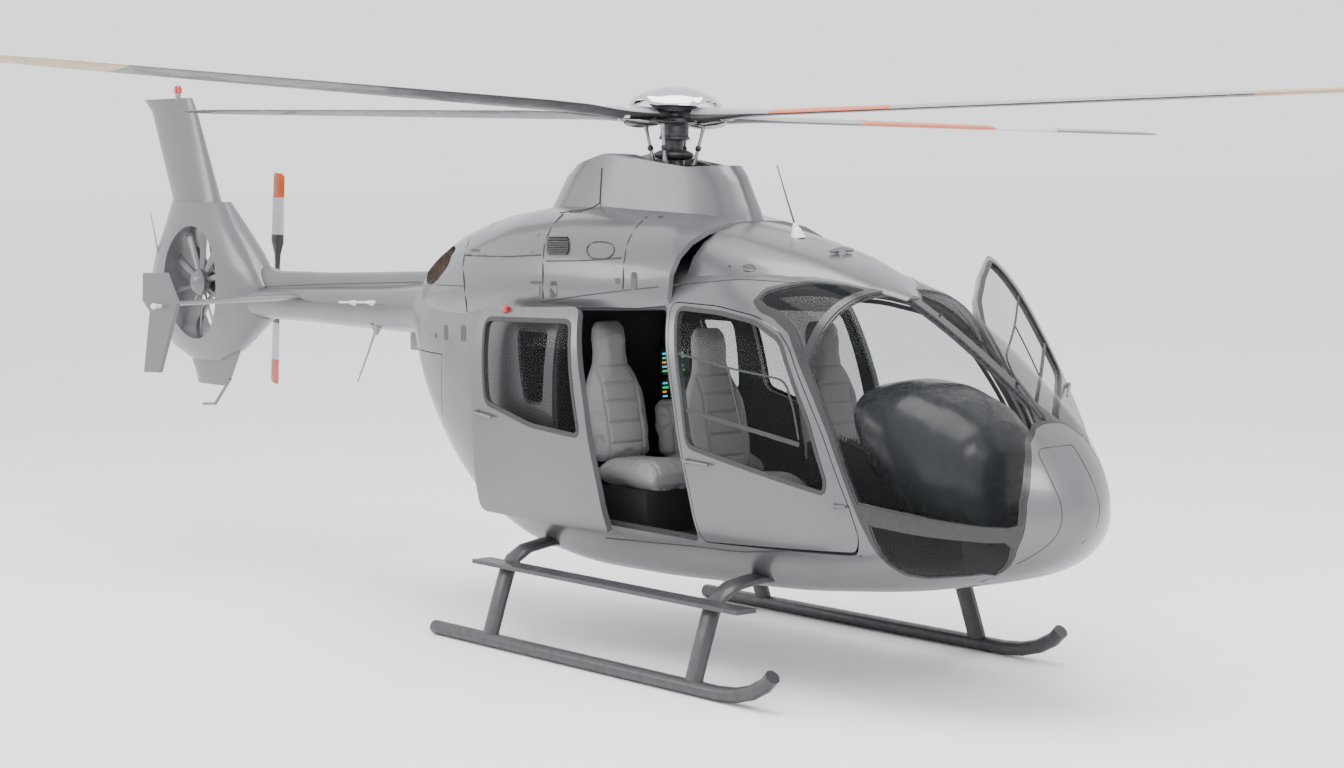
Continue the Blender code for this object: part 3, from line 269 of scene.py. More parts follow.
def fill(outer, holes, marks, step, stretch):
    """Triangles over an outline less its holes, with marked lines kept as edges.

    A grid of points inside and the outlines' own points go through a constrained
    Delaunay; stretch turns the second parameter into about the same length as the first.
    """
    loops = [outer] + holes + marks
    size = np.array([1.0, stretch])
    line = np.concatenate(loops) * size
    ends, first = [], 0
    for loop in loops:
        k = len(loop)
        ends += [(first + i, first + (i + 1) % k) for i in range(k)]
        first += k
    low, high = outer.min(0) * size, outer.max(0) * size
    u, v = np.meshgrid(np.arange(low[0], high[0], step), np.arange(low[1], high[1], step))
    grid = np.stack([u.ravel(), v.ravel()], -1)
    keep = inside(grid / size, outer)
    for hole in holes:
        keep &= ~inside(grid / size, hole)
    grid = grid[keep]
    near = np.full(len(grid), 1e9)
    for chunk in np.array_split(line, max(len(line) // 200, 1)):
        near = np.minimum(near, np.linalg.norm(grid[:, None] - chunk[None], axis=2).min(1))
    points = np.concatenate([line, grid[near > 0.55 * step]])
    verts, _, faces, *_ = geometry.delaunay_2d_cdt([Vector(p) for p in points], ends, [], 0, 1e-7)
    verts = np.array([tuple(v) for v in verts]) / size
    faces = np.array(faces)
    middle = verts[faces].mean(1)
    keep = inside(middle, outer)
    for hole in holes:
        keep &= ~inside(middle, hole)
    return verts, faces[keep]


def add_mesh(name, verts, faces, mats, index=None, smooth=True, attributes=None):
    """A mesh object in model coordinates, from stations measured from the mast."""
    mesh = bpy.data.meshes.new(name)
    mesh.from_pydata((np.asarray(verts, float) + (0.0, MAST_Y, 0.0)).tolist(), [],
                     faces if isinstance(faces, list) else faces.tolist())
    for mat in mats:
        mesh.materials.append(mat)
    if index is not None:
        mesh.polygons.foreach_set("material_index", np.asarray(index, np.int32))
    for key, values in (attributes or {}).items():
        layer = mesh.attributes.new(key, "FLOAT", "POINT")
        layer.data.foreach_set("value", np.asarray(values, np.float32))
    mesh.shade_smooth() if smooth else mesh.shade_flat()
    if smooth:
        mesh.set_sharp_from_angle(angle=math.radians(32))
    obj = bpy.data.objects.new(name, mesh)
    bpy.context.scene.collection.objects.link(obj)
    return obj


def shell(name, point, verts, faces, side, depth, thick, mats, index=None, move=None):
    """A panel of a body's skin: its outer face, its inner face and the rim between.

    point gives the surface; both faces lie on it, moved in along its normal by depth
    and by depth plus thick. side is -1 or 1, or 0 for both halves joined in the middle.
    """
    base = point(verts[:, 0], verts[:, 1])
    eps = 1e-4
    along = point(verts[:, 0] + eps, verts[:, 1]) - point(verts[:, 0] - eps, verts[:, 1])
    around = point(verts[:, 0], verts[:, 1] + eps) - point(verts[:, 0], verts[:, 1] - eps)
    normal = np.cross(along, around)
    normal /= np.linalg.norm(normal, axis=1)[:, None] + 1e-12
    corner = base[faces]
    facing = np.cross(corner[:, 1] - corner[:, 0], corner[:, 2] - corner[:, 0])
    turned = np.sum(facing * normal[faces[:, 0]], axis=1) < 0
    faces = np.where(turned[:, None], faces[:, ::-1], faces)
    centre = np.abs(base[:, 0]) < 1e-5
    normal[centre & (side == 0), 0] = 0.0
    base[centre & (side == 0), 0] = 0.0
    count = len(base)
    points = np.concatenate([base - normal * depth, base - normal * (depth + thick)])
    sides = np.concatenate([faces[:, [0, 1]], faces[:, [1, 2]], faces[:, [2, 0]]])
    _, first, uses = np.unique(np.sort(sides, axis=1), axis=0, return_index=True,
                               return_counts=True)
    rim = sides[first[uses == 1]]
    edge = base[np.unique(rim[~(centre[rim].all(1) & (side == 0))])]
    far = np.full(count, 1e9)
    for chunk in np.array_split(edge, max(len(edge) // 200, 1)):
        far = np.minimum(far, np.linalg.norm(base[:, None] - chunk[None], axis=2).min(1))
    if side == 0:
        rim = rim[~centre[rim].all(1)]
    rim = np.stack([rim[:, 1], rim[:, 0], rim[:, 0] + count, rim[:, 1] + count], 1)
    index = np.zeros(len(faces), int) if index is None else index
    kinds = np.concatenate([index, np.full(len(faces), 1), np.zeros(len(rim), int)])
    kinds = np.minimum(kinds, len(mats) - 1)
    whole = faces.tolist() + (faces[:, ::-1] + count).tolist() + rim.tolist()
    if side == 0:
        whole += [[i + 2 * count for i in f[::-1]] for f in whole]
        points = np.concatenate([points, points * (-1.0, 1.0, 1.0)])
        kinds = np.tile(kinds, 2)
    elif side < 0:
        whole, points = [f[::-1] for f in whole], points * (-1.0, 1.0, 1.0)
    if move is not None:
        points = move(points)
    obj = add_mesh(name, points, whole, mats, kinds,
                   attributes={"rim_distance": np.tile(far, 4 if side == 0 else 2)})
    if side == 0:
        form = bmesh.new()
        form.from_mesh(obj.data)
        bmesh.ops.remove_doubles(form, verts=form.verts, dist=1e-5)
        form.to_mesh(obj.data)
        form.free()
    return obj


def cabin_point(y, a):
    """The cabin's skin."""
    return body_point(CABIN, y, a)


def side_loop(outline):
    """A side-view outline (station, height) as the cabin's (station, bearing)."""
    return np.stack([outline[:, 0], bearing(CABIN, outline[:, 0], outline[:, 1])], -1)


def roof_loop(outline):
    """A plan-view outline (x, station) as the cabin's (station, bearing)."""
    return np.stack([outline[:, 1], bearing_above(CABIN, outline[:, 0], outline[:, 1])], -1)


def front_loop(outline):
    """A front-view line (x, height) as the cabin's (station, bearing), by bisection."""
    low, high = np.full(len(outline), NOSE_TIP + 0.01), np.full(len(outline), -2.9)
    for _ in range(40):
        y = 0.5 * (low + high)
        half, bottom, mid, top, n_low, n_high = np.moveaxis(rows_at(CABIN, y), -1, 0)
        upper = outline[:, 1] >= mid
        n = np.where(upper, n_high, n_low)
        t = (outline[:, 1] - mid) / np.where(upper, top - mid, mid - bottom)
        out = (outline[:, 0] / half) ** n + np.abs(t) ** n > 1.0
        low, high = np.where(out, y, low), np.where(out, high, y)
    t = np.clip(t, -1, 1)
    return np.stack([y, np.arctan2(t, (1.0 - np.abs(t) ** n) ** (1.0 / n))], -1)


FRONT_DOOR = [(-0.82, 2.185), (-0.90, 1.92), (-1.00, 1.62), (-1.06, 1.35), (-1.155, 1.06),
              (-1.19, 0.80), (-2.50, 0.868), (-2.545, 0.96), (-2.50, 1.10), (-2.285, 1.507),
              (-2.145, 1.70), (-1.93, 1.97), (-1.80, 2.065), (-1.60, 2.13), (-1.25, 2.175)]
FRONT_DOORWAY = [(y, z - 0.016 if (y, z) == (-2.50, 0.868) else z) for y, z in FRONT_DOOR]
REAR_DOOR = [(-0.805, 2.165), (-0.885, 1.92), (-0.985, 1.62), (-1.045, 1.35), (-1.14, 1.06),
             (-1.175, 0.80), (0.205, 0.82), (0.24, 1.44), (0.255, 1.95), (0.235, 2.12)]
REAR_SIDE_WINDOW = [(0.70, 1.97), (0.34, 1.97), (0.345, 1.50), (0.55, 1.50)]
# the windscreen's lower edge and nose edge follow the glazing frame and the nose cap
NOSE_CAP = np.array([(0.0, 1.592), (0.06, 1.59), (0.11, 1.575), (0.20, 1.50), (0.26, 1.36),
                     (0.31, 1.195), (0.33, 0.95), (0.29, 0.80), (0.275, 0.745)])
ROOF_WINDOW = [(0.215, -2.05), (0.36, -1.79), (0.49, -1.64), (0.545, -1.56), (0.60, -1.545),
               (0.618, -1.63), (0.615, -1.75), (0.635, -1.89), (0.667, -1.986), (0.682, -2.05)]
WINDSCREEN_REAR = [(-2.09, 1.88), (-2.235, 1.69), (-2.35, 1.52), (-2.44, 1.33), (-2.535, 1.145)]
CHIN_LOWER = [(-2.61, 1.04), (-2.665, 0.83), (-2.72, 0.765), (-2.82, 0.748), (-3.03, 0.772),
              (-3.12, 0.79)]
POST_HALF, CLAMSHELL_Y, CLAMSHELL_Z = 0.030, 1.700, 1.745


def dense(points, step=0.02):
    """An open line resampled about every step."""
    points = np.asarray(points, float)
    gone = np.concatenate([[0], np.cumsum(np.linalg.norm(np.diff(points, axis=0), axis=1))])
    at = np.linspace(0, gone[-1], max(int(gone[-1] / step), 2) + 1)
    return np.stack([np.interp(at, gone, points[:, k]) for k in range(2)], -1)


nose_line = front_loop(dense(NOSE_CAP))
in_from_nose = nose_line + (0.012, 0.0)
top_share = nose_line[:, 1] > bearing(CABIN, nose_line[:, 0], np.full(len(nose_line), 1.065))
low_share = nose_line[:, 1] < bearing(CABIN, nose_line[:, 0], np.full(len(nose_line), 0.985))
post_y = np.linspace(-3.27, -2.09, 12)
post_line = np.stack([post_y, bearing_above(CABIN, np.full(12, POST_HALF), post_y)], -1)
rear_line = side_loop(dense(WINDSCREEN_REAR, 0.03))
across = dense([(-2.09, 1.50), (-2.09, rear_line[0, 1])], 0.03)
sill = side_loop(dense([(-2.535, 1.145), (-2.93, 1.10), (-3.25, 1.065), (-3.36, 1.062)], 0.03))
up_nose = in_from_nose[top_share][::-1]
up_nose = up_nose[(up_nose[:, 1] > sill[-1, 1] + 0.01) & (up_nose[:, 0] < -3.275)]
windscreen = np.concatenate([across[1:], rear_line[1:], sill[1:], up_nose, post_line[1:]])
chin_top = side_loop(dense([(-3.345, 0.985), (-3.25, 0.985), (-2.93, 1.005), (-2.61, 1.04)], 0.03))
chin_rear = side_loop(dense(CHIN_LOWER, 0.03))
down_nose = in_from_nose[low_share][::-1]
down_nose = down_nose[(down_nose[:, 0] > chin_rear[-1, 0] - 0.3)]
chin = np.concatenate([chin_top, chin_rear[1:], down_nose[2:-1]])
roof_window = roof_loop(soft_corners(ROOF_WINDOW, 0.04))
front_doorway = side_loop(soft_corners(FRONT_DOORWAY, 0.07))
rear_doorway = side_loop(soft_corners(REAR_DOOR, 0.07))
rear_window = side_loop(soft_corners(REAR_SIDE_WINDOW, 0.06))
nose_end = bearing(CABIN, np.array([-3.02]), np.array([0.731]))[0]
TAIL_END, LEVEL = 2.450, np.pi / 2
clam_line = side_loop(dense([(CLAMSHELL_Y, CLAMSHELL_Z), (TAIL_END - 0.001, CLAMSHELL_Z)], 0.03))
outer = np.concatenate([
    dense([(nose_line[0, 0], LEVEL), (TAIL_END, LEVEL)], 0.045)[::-1], nose_line[1:-1],
    [(-3.02, nose_end)], dense([(-3.02, nose_end), (-3.02, -LEVEL)], 0.04)[1:],
    dense([(-3.02, -LEVEL), (CLAMSHELL_Y, -LEVEL)], 0.045)[1:],
    dense([(CLAMSHELL_Y, -LEVEL), clam_line[0]], 0.04)[1:], clam_line[1:],
    dense([clam_line[-1] + (0.001, 0.0), (TAIL_END, LEVEL)], 0.05)[1:-1]])
GLAZING_REAR = [(-3.21, 0.80), (-3.03, 0.770), (-2.82, 0.738), (-2.71, 0.752), (-2.665, 0.81),
                (-2.63, 0.88), (-2.58, 1.0), (-2.50, 1.155), (-2.415, 1.33), (-2.31, 1.52),
                (-2.19, 1.69), (-2.10, 1.80), (-1.99, 1.93), (-1.89, 2.04), (-1.73, 2.12),
                (-1.61, 2.15), (-1.54, 2.19)]
GLAZING_ROOF = [(0.61, -1.515), (0.53, -1.53), (0.47, -1.62), (0.34, -1.775), (0.19, -2.035)]
glazing = np.concatenate([[(-2.03, LEVEL + 0.1), (-3.35, LEVEL + 0.1)], nose_line - (0.02, 0.0),
                          side_loop(dense(GLAZING_REAR, 0.03)),
                          roof_loop(dense(GLAZING_ROOF, 0.03))])
holes = [front_doorway, rear_doorway, rear_window, windscreen, chin, roof_window]
verts, faces = fill(outer, holes, [glazing], 0.045, 0.85)
dark = inside(verts[faces].mean(1), glazing)
cabin = shell("cabin_skin", cabin_point, verts, faces, 0, 0.0, 0.040,
              [mat_silver, mat_lining, mat_print_and_shade], np.where(dark, 2, 0))
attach(cabin, "airframe")
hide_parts("cabin_body")


# Panes. Formed acrylic sheet, lightly smoked, bonded into the rebates from outside behind
# a black printed border.
mat_glass, tree, shader = finish_of("smoked_acrylic", "#15181a", 0.03, Alpha=0.22,
                                    Specular_IOR_Level=0.06)
mottle(tree, shader, "#15181a", "#1b1e20", 500.0, 0.5, rough=(0.02, 0.05))
mat_dark_glass, tree, shader = finish_of("dark_smoked_acrylic", "#1a1c1e", 0.04, Alpha=0.62,
                                         Specular_IOR_Level=0.10)
mottle(tree, shader, "#1a1c1e", "#212325", 500.0, 0.5, rough=(0.03, 0.06))
FIT, PANE_DEPTH, PANE = 0.0003, 0.006, 0.008
skins = {}
for name, loop in (("windscreen", windscreen), ("chin_window", chin),
                   ("roof_window", roof_window), ("rear_window", rear_window)):
    verts, faces = fill(loop, [offset(loop, 0.014)], [], 0.03, 0.85)
    clear_verts, clear_faces = fill(offset(loop, 0.014), [], [], 0.045, 0.85)
    for label, side in (("starboard", -1), ("port", 1)):
        pane = shell(f"{name}_pane_{label}", cabin_point, clear_verts, clear_faces, side,
                     PANE_DEPTH, PANE,
                     [mat_dark_glass if name in ("roof_window", "chin_window") else mat_glass])
        border = shell(f"{name}_border_{label}", cabin_point, verts, faces, side,
                       PANE_DEPTH, PANE, [mat_print_and_shade])
        skins[f"{name}_pane_{label}"] = pane
        for piece in (pane, border):
            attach(piece, "airframe")
            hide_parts(f"{name}_{label}")


# Nose cap. A moulded cover over the nose bay, painted with the body and held by quarter
# turns; a thin joint runs round it.
def nose_point(x, z):
    """The cabin's skin as a height field over the front view, by bisection along Y."""
    low, high = np.full(x.shape, NOSE_TIP + 0.006), np.full(x.shape, -2.85)
    for _ in range(40):
        y = 0.5 * (low + high)
        half, bottom, mid, top, n_low, n_high = np.moveaxis(rows_at(CABIN, y), -1, 0)
        upper = z >= mid
        n = np.where(upper, n_high, n_low)
        t = (z - mid) / np.where(upper, top - mid, mid - bottom)
        out = (np.abs(x) / half) ** n + np.abs(t) ** n > 1.0
        low, high = np.where(out, y, low), np.where(out, high, y)
    return np.stack([x, y, z], -1)


half, bottom, mid, top, n_low, n_high = rows_at(CABIN, np.array([-3.02]))[0]
under = np.linspace(0.268, -0.268, 25)
under = np.stack([under, mid - (mid - bottom)
                  * (1 - (np.abs(under) / half) ** n_low) ** (1 / n_low)], -1)
right_edge = dense(NOSE_CAP, 0.025)
cap_loop = np.concatenate([right_edge, under, (right_edge * (-1.0, 1.0))[::-1][:-1]])
cap_loop = offset(cap_loop, 0.002)
verts, faces = fill(cap_loop, [], [], 0.025, 1.0)
cap = shell("nose_cap_skin", nose_point, verts, faces, 1, 0.0, 0.040, [mat_silver, mat_lining])
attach(cap, "airframe")
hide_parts("nose_cap")


# Front doors. Composite frames with a large bonded window; each swings forward and up
# on two hinges. The port one stands open.
def turned_about(points, foot, line, degrees):
    """Points turned about a line through foot (Rodrigues' formula)."""
    k = np.asarray(line, float) / np.linalg.norm(line)
    p, t = points - foot, math.radians(degrees)
    return (p * math.cos(t) + np.cross(k, p) * math.sin(t)
            + np.outer(p @ k, k) * (1 - math.cos(t)) + foot)


FRONT_WINDOW = [(-0.90, 2.15), (-1.06, 1.675), (-1.125, 1.36), (-2.30, 1.185), (-2.315, 1.25),
                (-2.17, 1.568), (-1.98, 1.832), (-1.85, 2.00), (-1.61, 2.095), (-1.29, 2.135)]
DOOR_GAP, WALL = 0.006, 0.040


def swing_port(points):
    """The port front door's opened place."""
    return turned_about(points, (0.758, -2.600, 0.95), (-0.020, 0.550, 1.0), -60.0)


def window_set(name, loop, side, move, body, node_name):
    """A pane with its black rubber gasket, set in a door."""
    gasket_verts, gasket_faces = fill(offset(loop, -0.012), [offset(loop, 0.012)], [], 0.03, 0.85)
    pane_verts, pane_faces = fill(loop, [], [], 0.045, 0.85)
    pane = shell(f"{name}_pane", cabin_point, pane_verts, pane_faces, side, PANE_DEPTH, PANE,
                 [mat_glass], move=move)
    gasket = shell(f"{name}_gasket", cabin_point, gasket_verts, gasket_faces, side, -0.003,
                   0.008, [mat_rubber], move=move)
    for piece in (pane, gasket):
        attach(piece, body)
    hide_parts(node_name)
    skins[node_name] = pane


door_outline = side_loop(offset(soft_corners(FRONT_DOOR, 0.07), DOOR_GAP))
door_window = side_loop(soft_corners(FRONT_WINDOW, 0.06))
door_verts, door_faces = fill(door_outline, [door_window], [], 0.04, 0.85)
for label, side, move in (("starboard", -1, None), ("port", 1, swing_port)):
    door = shell(f"front_door_skin_{label}", cabin_point, door_verts, door_faces, side, 0.0,
                 WALL, [mat_silver, mat_lining], move=move)
    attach(door, f"front_door_{label}")
    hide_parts(f"front_door_{label}")
    skins[f"front_door_{label}"] = door
    window_set(f"front_door_{label}", door_window, side, move, f"front_door_{label}",
               f"front_door_pane_{label}")


# Sliding doors. Composite panels with one window each; the starboard one is pushed back
# along its rail, outside the body.
REAR_WINDOW = [(0.17, 2.05), (-0.76, 2.07), (-0.94, 1.385), (-0.42, 1.418), (0.08, 1.53)]


def slid_back(points):
    """The starboard sliding door's opened place."""
    return points + (-0.115, 0.74, -0.03)


slide_window = side_loop(soft_corners(REAR_WINDOW, 0.06))
for label, side, move, gap in (("starboard", -1, slid_back, DOOR_GAP), ("port", 1, None, FIT)):
    slide_outline = side_loop(offset(soft_corners(REAR_DOOR, 0.07), gap))
    verts, faces = fill(slide_outline, [slide_window], [], 0.04, 0.85)
    door = shell(f"sliding_door_skin_{label}", cabin_point, verts, faces, side, 0.0, WALL,
                 [mat_silver, mat_lining], move=move)
    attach(door, "airframe")
    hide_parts(f"sliding_door_{label}")
    skins[f"sliding_door_{label}"] = door
    window_set(f"sliding_door_{label}", slide_window, side, move, "airframe",
               f"sliding_door_pane_{label}")


# Door seals. Rubber sections clipped round the two open doorways.
for name, corners, side, depth in (("rear_doorway_seal", REAR_DOOR, -1, 0.012),
                                   ("front_doorway_seal", FRONT_DOOR, 1, 0.048)):
    seal_loop = soft_corners(corners, 0.07)
    verts, faces = fill(side_loop(seal_loop), [side_loop(offset(seal_loop, 0.022))], [], 0.03,
                        0.85)
    seal = shell(name, cabin_point, verts, faces, side, depth, 0.016, [mat_rubber])
    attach(seal, "airframe")


# Rear clamshell doors. Two curved leaves that close the baggage space under the boom.
clam_loop = np.concatenate([
    dense([(CLAMSHELL_Y + DOOR_GAP, -LEVEL + 0.006), (TAIL_END, -LEVEL + 0.006)], 0.04),
    side_loop(dense([(TAIL_END - 0.001, CLAMSHELL_Z - DOOR_GAP),
                     (CLAMSHELL_Y + DOOR_GAP, CLAMSHELL_Z - DOOR_GAP)], 0.03))])
verts, faces = fill(clam_loop, [], [], 0.035, 0.75)
for label, side in (("starboard", -1), ("port", 1)):
    leaf = shell(f"clamshell_skin_{label}", cabin_point, verts, faces, side, 0.0, WALL,
                 [mat_silver, mat_lining])
    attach(leaf, f"clamshell_door_{label}")
    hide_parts(f"clamshell_door_{label}")


# Cowlings, mast fairing and tail. Painted composite and sheet-metal covers and the boom,
# whose modelled solids keep their shape and get a smooth surface.
def smooth_copy(node_name, name, mat, body="airframe", angle=35.0, weld=2e-4):
    """A welded, smooth-shaded copy of a modelled solid, which it stands for."""
    mesh = node[node_name].data.copy()
    form = bmesh.new()
    form.from_mesh(mesh)
    bmesh.ops.remove_doubles(form, verts=form.verts, dist=weld)
    form.to_mesh(mesh)
    form.free()
    mesh.materials.clear()
    mesh.materials.append(mat)
    for key in [a.name for a in mesh.attributes if a.name == "custom_normal"]:
        mesh.attributes.remove(mesh.attributes[key])
    mesh.shade_smooth()
    mesh.set_sharp_from_angle(angle=math.radians(angle))
    obj = bpy.data.objects.new(name, mesh)
    bpy.context.scene.collection.objects.link(obj)
    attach(obj, body)
    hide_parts(node_name)
    return obj


for name in ("roof_ramp", "engine_cowl", "exhaust_cowl", "tail_boom", "shaft_cover",
             "fan_shroud", "fan_stator", "tailplane"):
    skins[name] = smooth_copy(name, f"{name}_skin", mat_silver)

mat_soot, tree, shader = finish_of("heat_stained_steel", "#3a2e26", 0.55, 0.7)
mottle(tree, shader, "#40332a", "#241d19", 40.0, 0.9, rough=(0.45, 0.65))


def paint_faces(obj, mat, chosen):
    """Gives a second material to the faces that chosen picks by centre and normal."""
    mesh = obj.data
    centre, normal = np.zeros(len(mesh.polygons) * 3), np.zeros(len(mesh.polygons) * 3)
    mesh.polygons.foreach_get("center", centre)
    mesh.polygons.foreach_get("normal", normal)
    mesh.materials.append(mat)
    picked = chosen(centre.reshape(-1, 3) - (0, MAST_Y, 0), normal.reshape(-1, 3))
    mesh.polygons.foreach_set("material_index", picked.astype(np.int32))


def in_bore(c, n):
    """Faces of the exhaust bores: they lie on a cylinder round the pipe's axis."""
    start, end, bore = np.array([0.38, 1.55, 2.28]), np.array([0.56, 2.60, 2.36]), 0.143
    line = (end - start) / np.linalg.norm(end - start)
    away = np.stack([np.abs(c[:, 0]), c[:, 1], c[:, 2]], 1) - start
    return np.linalg.norm(away - np.outer(away @ line, line), axis=1) < bore


paint_faces(skins["exhaust_cowl"], mat_soot, in_bore)
# the engine cowl's inward-facing faces get the dark grey: painted shade inside the cowl
paint_faces(skins["engine_cowl"], mat_dark,
            lambda c, n: (n[:, 0] * c[:, 0] + n[:, 2] * (c[:, 2] - 2.1) < -0.01)
            & (np.abs(n[:, 1]) < 0.8))


def ring_faces(rings, count, ends=True, turned=False):
    """Quads between neighbouring rings of count points, with a face over each end."""
    i, j = np.meshgrid(np.arange(rings - 1), np.arange(count), indexing="ij")
    k = (j + 1) % count
    quads = np.stack([i * count + j, i * count + k, (i + 1) * count + k, (i + 1) * count + j], -1)
    faces = quads.reshape(-1, 4).tolist()
    if ends:
        last = (rings - 1) * count
        faces += [list(range(count))[::-1], [last + n for n in range(count)]]
    return [face[::-1] for face in faces] if turned else faces


# the fairing's levels: height, front and rear ends, half widths at the front and rear
FAIRING = np.array([(2.440, -0.90, 1.36, 0.310, 0.42), (2.560, -0.83, 1.29, 0.262, 0.345),
                    (2.680, -0.79, 1.25, 0.225, 0.29), (2.920, -0.66, 1.09, 0.200, 0.22),
                    (2.985, -0.60, 1.00, 0.195, 0.20)])
LIP = np.array([(-0.60, -0.015), (-0.33, -0.02), (0.42, 0.065), (0.52, 0.065), (0.95, -0.015)])


def signed_power(value, exponent):
    """A signed power, which squares a circle off."""
    return np.sign(value) * np.abs(value) ** exponent


def fairing():
    """The fairing: a superellipse at each level whose half width runs from front to rear.

    The rim rises to a ridge behind the mast; inside it the well's wall goes down again.
    """
    count = 96
    a = np.arange(count) * 2 * np.pi / count
    share = 0.5 + 0.5 * signed_power(np.cos(a), 2 / 2.4)
    side = signed_power(np.sin(a), 2 / 2.4)
    rows = []
    level = np.linspace(0.0, 1.0, 25)
    z_rows = np.interp(level, np.linspace(0, 1, 5), FAIRING[:, 0])
    for z in z_rows:
        front, rear, half_front, half_rear = [np.interp(z, FAIRING[:, 0], FAIRING[:, k])
                                              for k in (1, 2, 3, 4)]
        y = front + (rear - front) * share
        rise = np.interp(y, LIP[:, 0], LIP[:, 1]) * np.clip((z - 2.70) / 0.285, 0, 1)
        rows.append(np.stack([(half_front + (half_rear - half_front) * share) * side, y,
                              z + rise], -1))
    rim = rows[-1]
    well = np.stack([0.166 * signed_power(np.sin(a), 0.8), 0.09 + 0.49 * signed_power(
        np.cos(a), 0.95), rim[:, 2] - 0.004], -1)
    rows.append(rim + (well - rim) * 0.15 + (0, 0, 0.004))
    rows.append(well)
    rows.append(well * (1, 1, 0) + (0, 0, 2.81))
    verts = np.concatenate(rows)
    faces = ring_faces(len(rows), count, ends=False, turned=True)
    faces.append([(len(rows) - 1) * count + n for n in range(count)][::-1])
    # the well's wall and floor get the dark grey: painted shade in the hollow under the rim
    dark = np.zeros(len(faces), int)
    dark[(len(rows) - 3) * count:] = 1
    return add_mesh("mast_fairing_skin", verts, faces, [mat_silver, mat_dark], dark)


skins["mast_fairing"] = fairing()
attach(skins["mast_fairing"], "airframe")
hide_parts("mast_fairing")


# Lines, latches and small fittings on the skins. Their places come from the photograph:
# a ray from the camera through a pixel meets the skin where the fitting sits. The port
# side carries the same ones, mirrored.
sight = {}


def sighted(pixels, pieces, spacing=5.0):
    """Where the camera sees a line of 1344 by 768 pixels on some pieces: places, normals."""
    line = dense(pixels, spacing) if len(pixels) > 1 else np.asarray(pixels, float)
    view = bpy.context.evaluated_depsgraph_get()
    places, normals = [], []
    for piece in pieces:
        if piece.name not in sight:
            sight[piece.name] = BVHTree.FromObject(piece, view)
    for px, py in line:
        ray = (ahead * FOCAL_PIXELS + right * (px - MIDDLE_PIXEL[0])
               - up * (py - MIDDLE_PIXEL[1])).normalized()
        hits = [sight[piece.name].ray_cast(EYE, ray) for piece in pieces]
        hits = [h for h in hits if h[0] is not None]
        if hits:
            place, normal, _, _ = min(hits, key=lambda h: h[3])
            places.append(place - Vector((0, MAST_Y, 0)))
            normals.append(normal if normal.dot(ray) < 0 else -normal)
    if not places:
        raise RuntimeError(f"no skin under {pixels}")
    return np.array(places), np.array(normals)


def smoothed(places, normals):
    """A line's places and its normals, each averaged with its neighbours three times."""
    for _ in range(3):
        if len(places) > 3:
            places[1:-1] = (places[:-2] + 2 * places[1:-1] + places[2:]) / 4
            normals[1:-1] = (normals[:-2] + 2 * normals[1:-1] + normals[2:]) / 4
    return places, normals / np.linalg.norm(normals, axis=1)[:, None]


def gather(name, parts, mat, body, mirrored=True, move=None, smooth=True):
    """One mesh of several (points, faces) parts, with a mirrored copy of each."""
    verts, faces, first = [], [], 0
    for points, polygons in parts:
        for side in ((1, -1) if mirrored else (1,)):
            verts.append(points * (side, 1.0, 1.0))
            faces += [[i + first for i in (f if side > 0 else f[::-1])] for f in polygons]
            first += len(points)
    verts = np.concatenate(verts)
    obj = add_mesh(name, verts if move is None else move(verts), faces, [mat], smooth=smooth)
    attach(obj, body)
    return obj


def strip(places, normals, wide, lift):
    """A flat bar on a surface: three faces, wide across the line and lift proud."""
    places, normals = smoothed(places, normals)
    along = np.gradient(places, axis=0)
    across = np.cross(along, normals)
    across *= 0.5 * wide / np.linalg.norm(across, axis=1)[:, None]
    rows = np.stack([places - across * 1.02 - normals * 0.002, places - across + normals * lift,
                     places + across + normals * lift,
                     places + across * 1.02 - normals * 0.002], 1)
    i = np.arange(len(places) - 1)[:, None] * 4 + np.arange(3)
    quads = np.stack([i, i + 1, i + 5, i + 4], -1).reshape(-1, 4)
    return rows.reshape(-1, 3), quads[:, ::-1].tolist()


def patch(low, high, pieces, lift, square=5.0, count=20):
    """A small raised plate over a pixel rectangle: a superellipse outline on the skin."""
    a = np.arange(count) * 2 * np.pi / count
    c, s = np.cos(a), np.sin(a)
    r = (np.abs(c) ** square + np.abs(s) ** square) ** (-1.0 / square)
    middle, reach = np.add(low, high) / 2.0, np.subtract(high, low) / 2.0
    ring = np.stack([middle[0] + reach[0] * r * c, middle[1] + reach[1] * r * s], -1)
    places, normals = [], []
    for spot in ring:
        place, normal = sighted([spot], pieces)
        places.append(place[0])
        normals.append(normal[0])
    places, normals = np.array(places), np.array(normals)
    normal = normals.mean(0) / np.linalg.norm(normals.mean(0))
    points = np.concatenate([places + normal * lift, places - normal * 0.003])
    return points, [list(range(count))[::-1]] + [
        [i, (i + 1) % count, (i + 1) % count + count, i + count] for i in range(count)]


def tube(points, radius, count=12):
    """A round bar along a path: rings square to the path, with closed ends."""
    points = np.asarray(points, float)
    radius = np.broadcast_to(np.asarray(radius, float), (len(points),))
    along = np.gradient(points, axis=0)
    along /= np.linalg.norm(along, axis=1)[:, None]
    guide = np.array([0.31, 0.17, 0.93]) if abs(along[0, 2]) < 0.9 else np.array([0.9, 0.3, 0.1])
    u = np.cross(along, guide)
    u /= np.linalg.norm(u, axis=1)[:, None]
    v = np.cross(along, u)
    a = np.arange(count) * 2 * np.pi / count
    ring = (points[:, None] + radius[:, None, None]
            * (u[:, None] * np.cos(a)[:, None] + v[:, None] * np.sin(a)[:, None]))
    return ring.reshape(-1, 3), ring_faces(len(points), count)


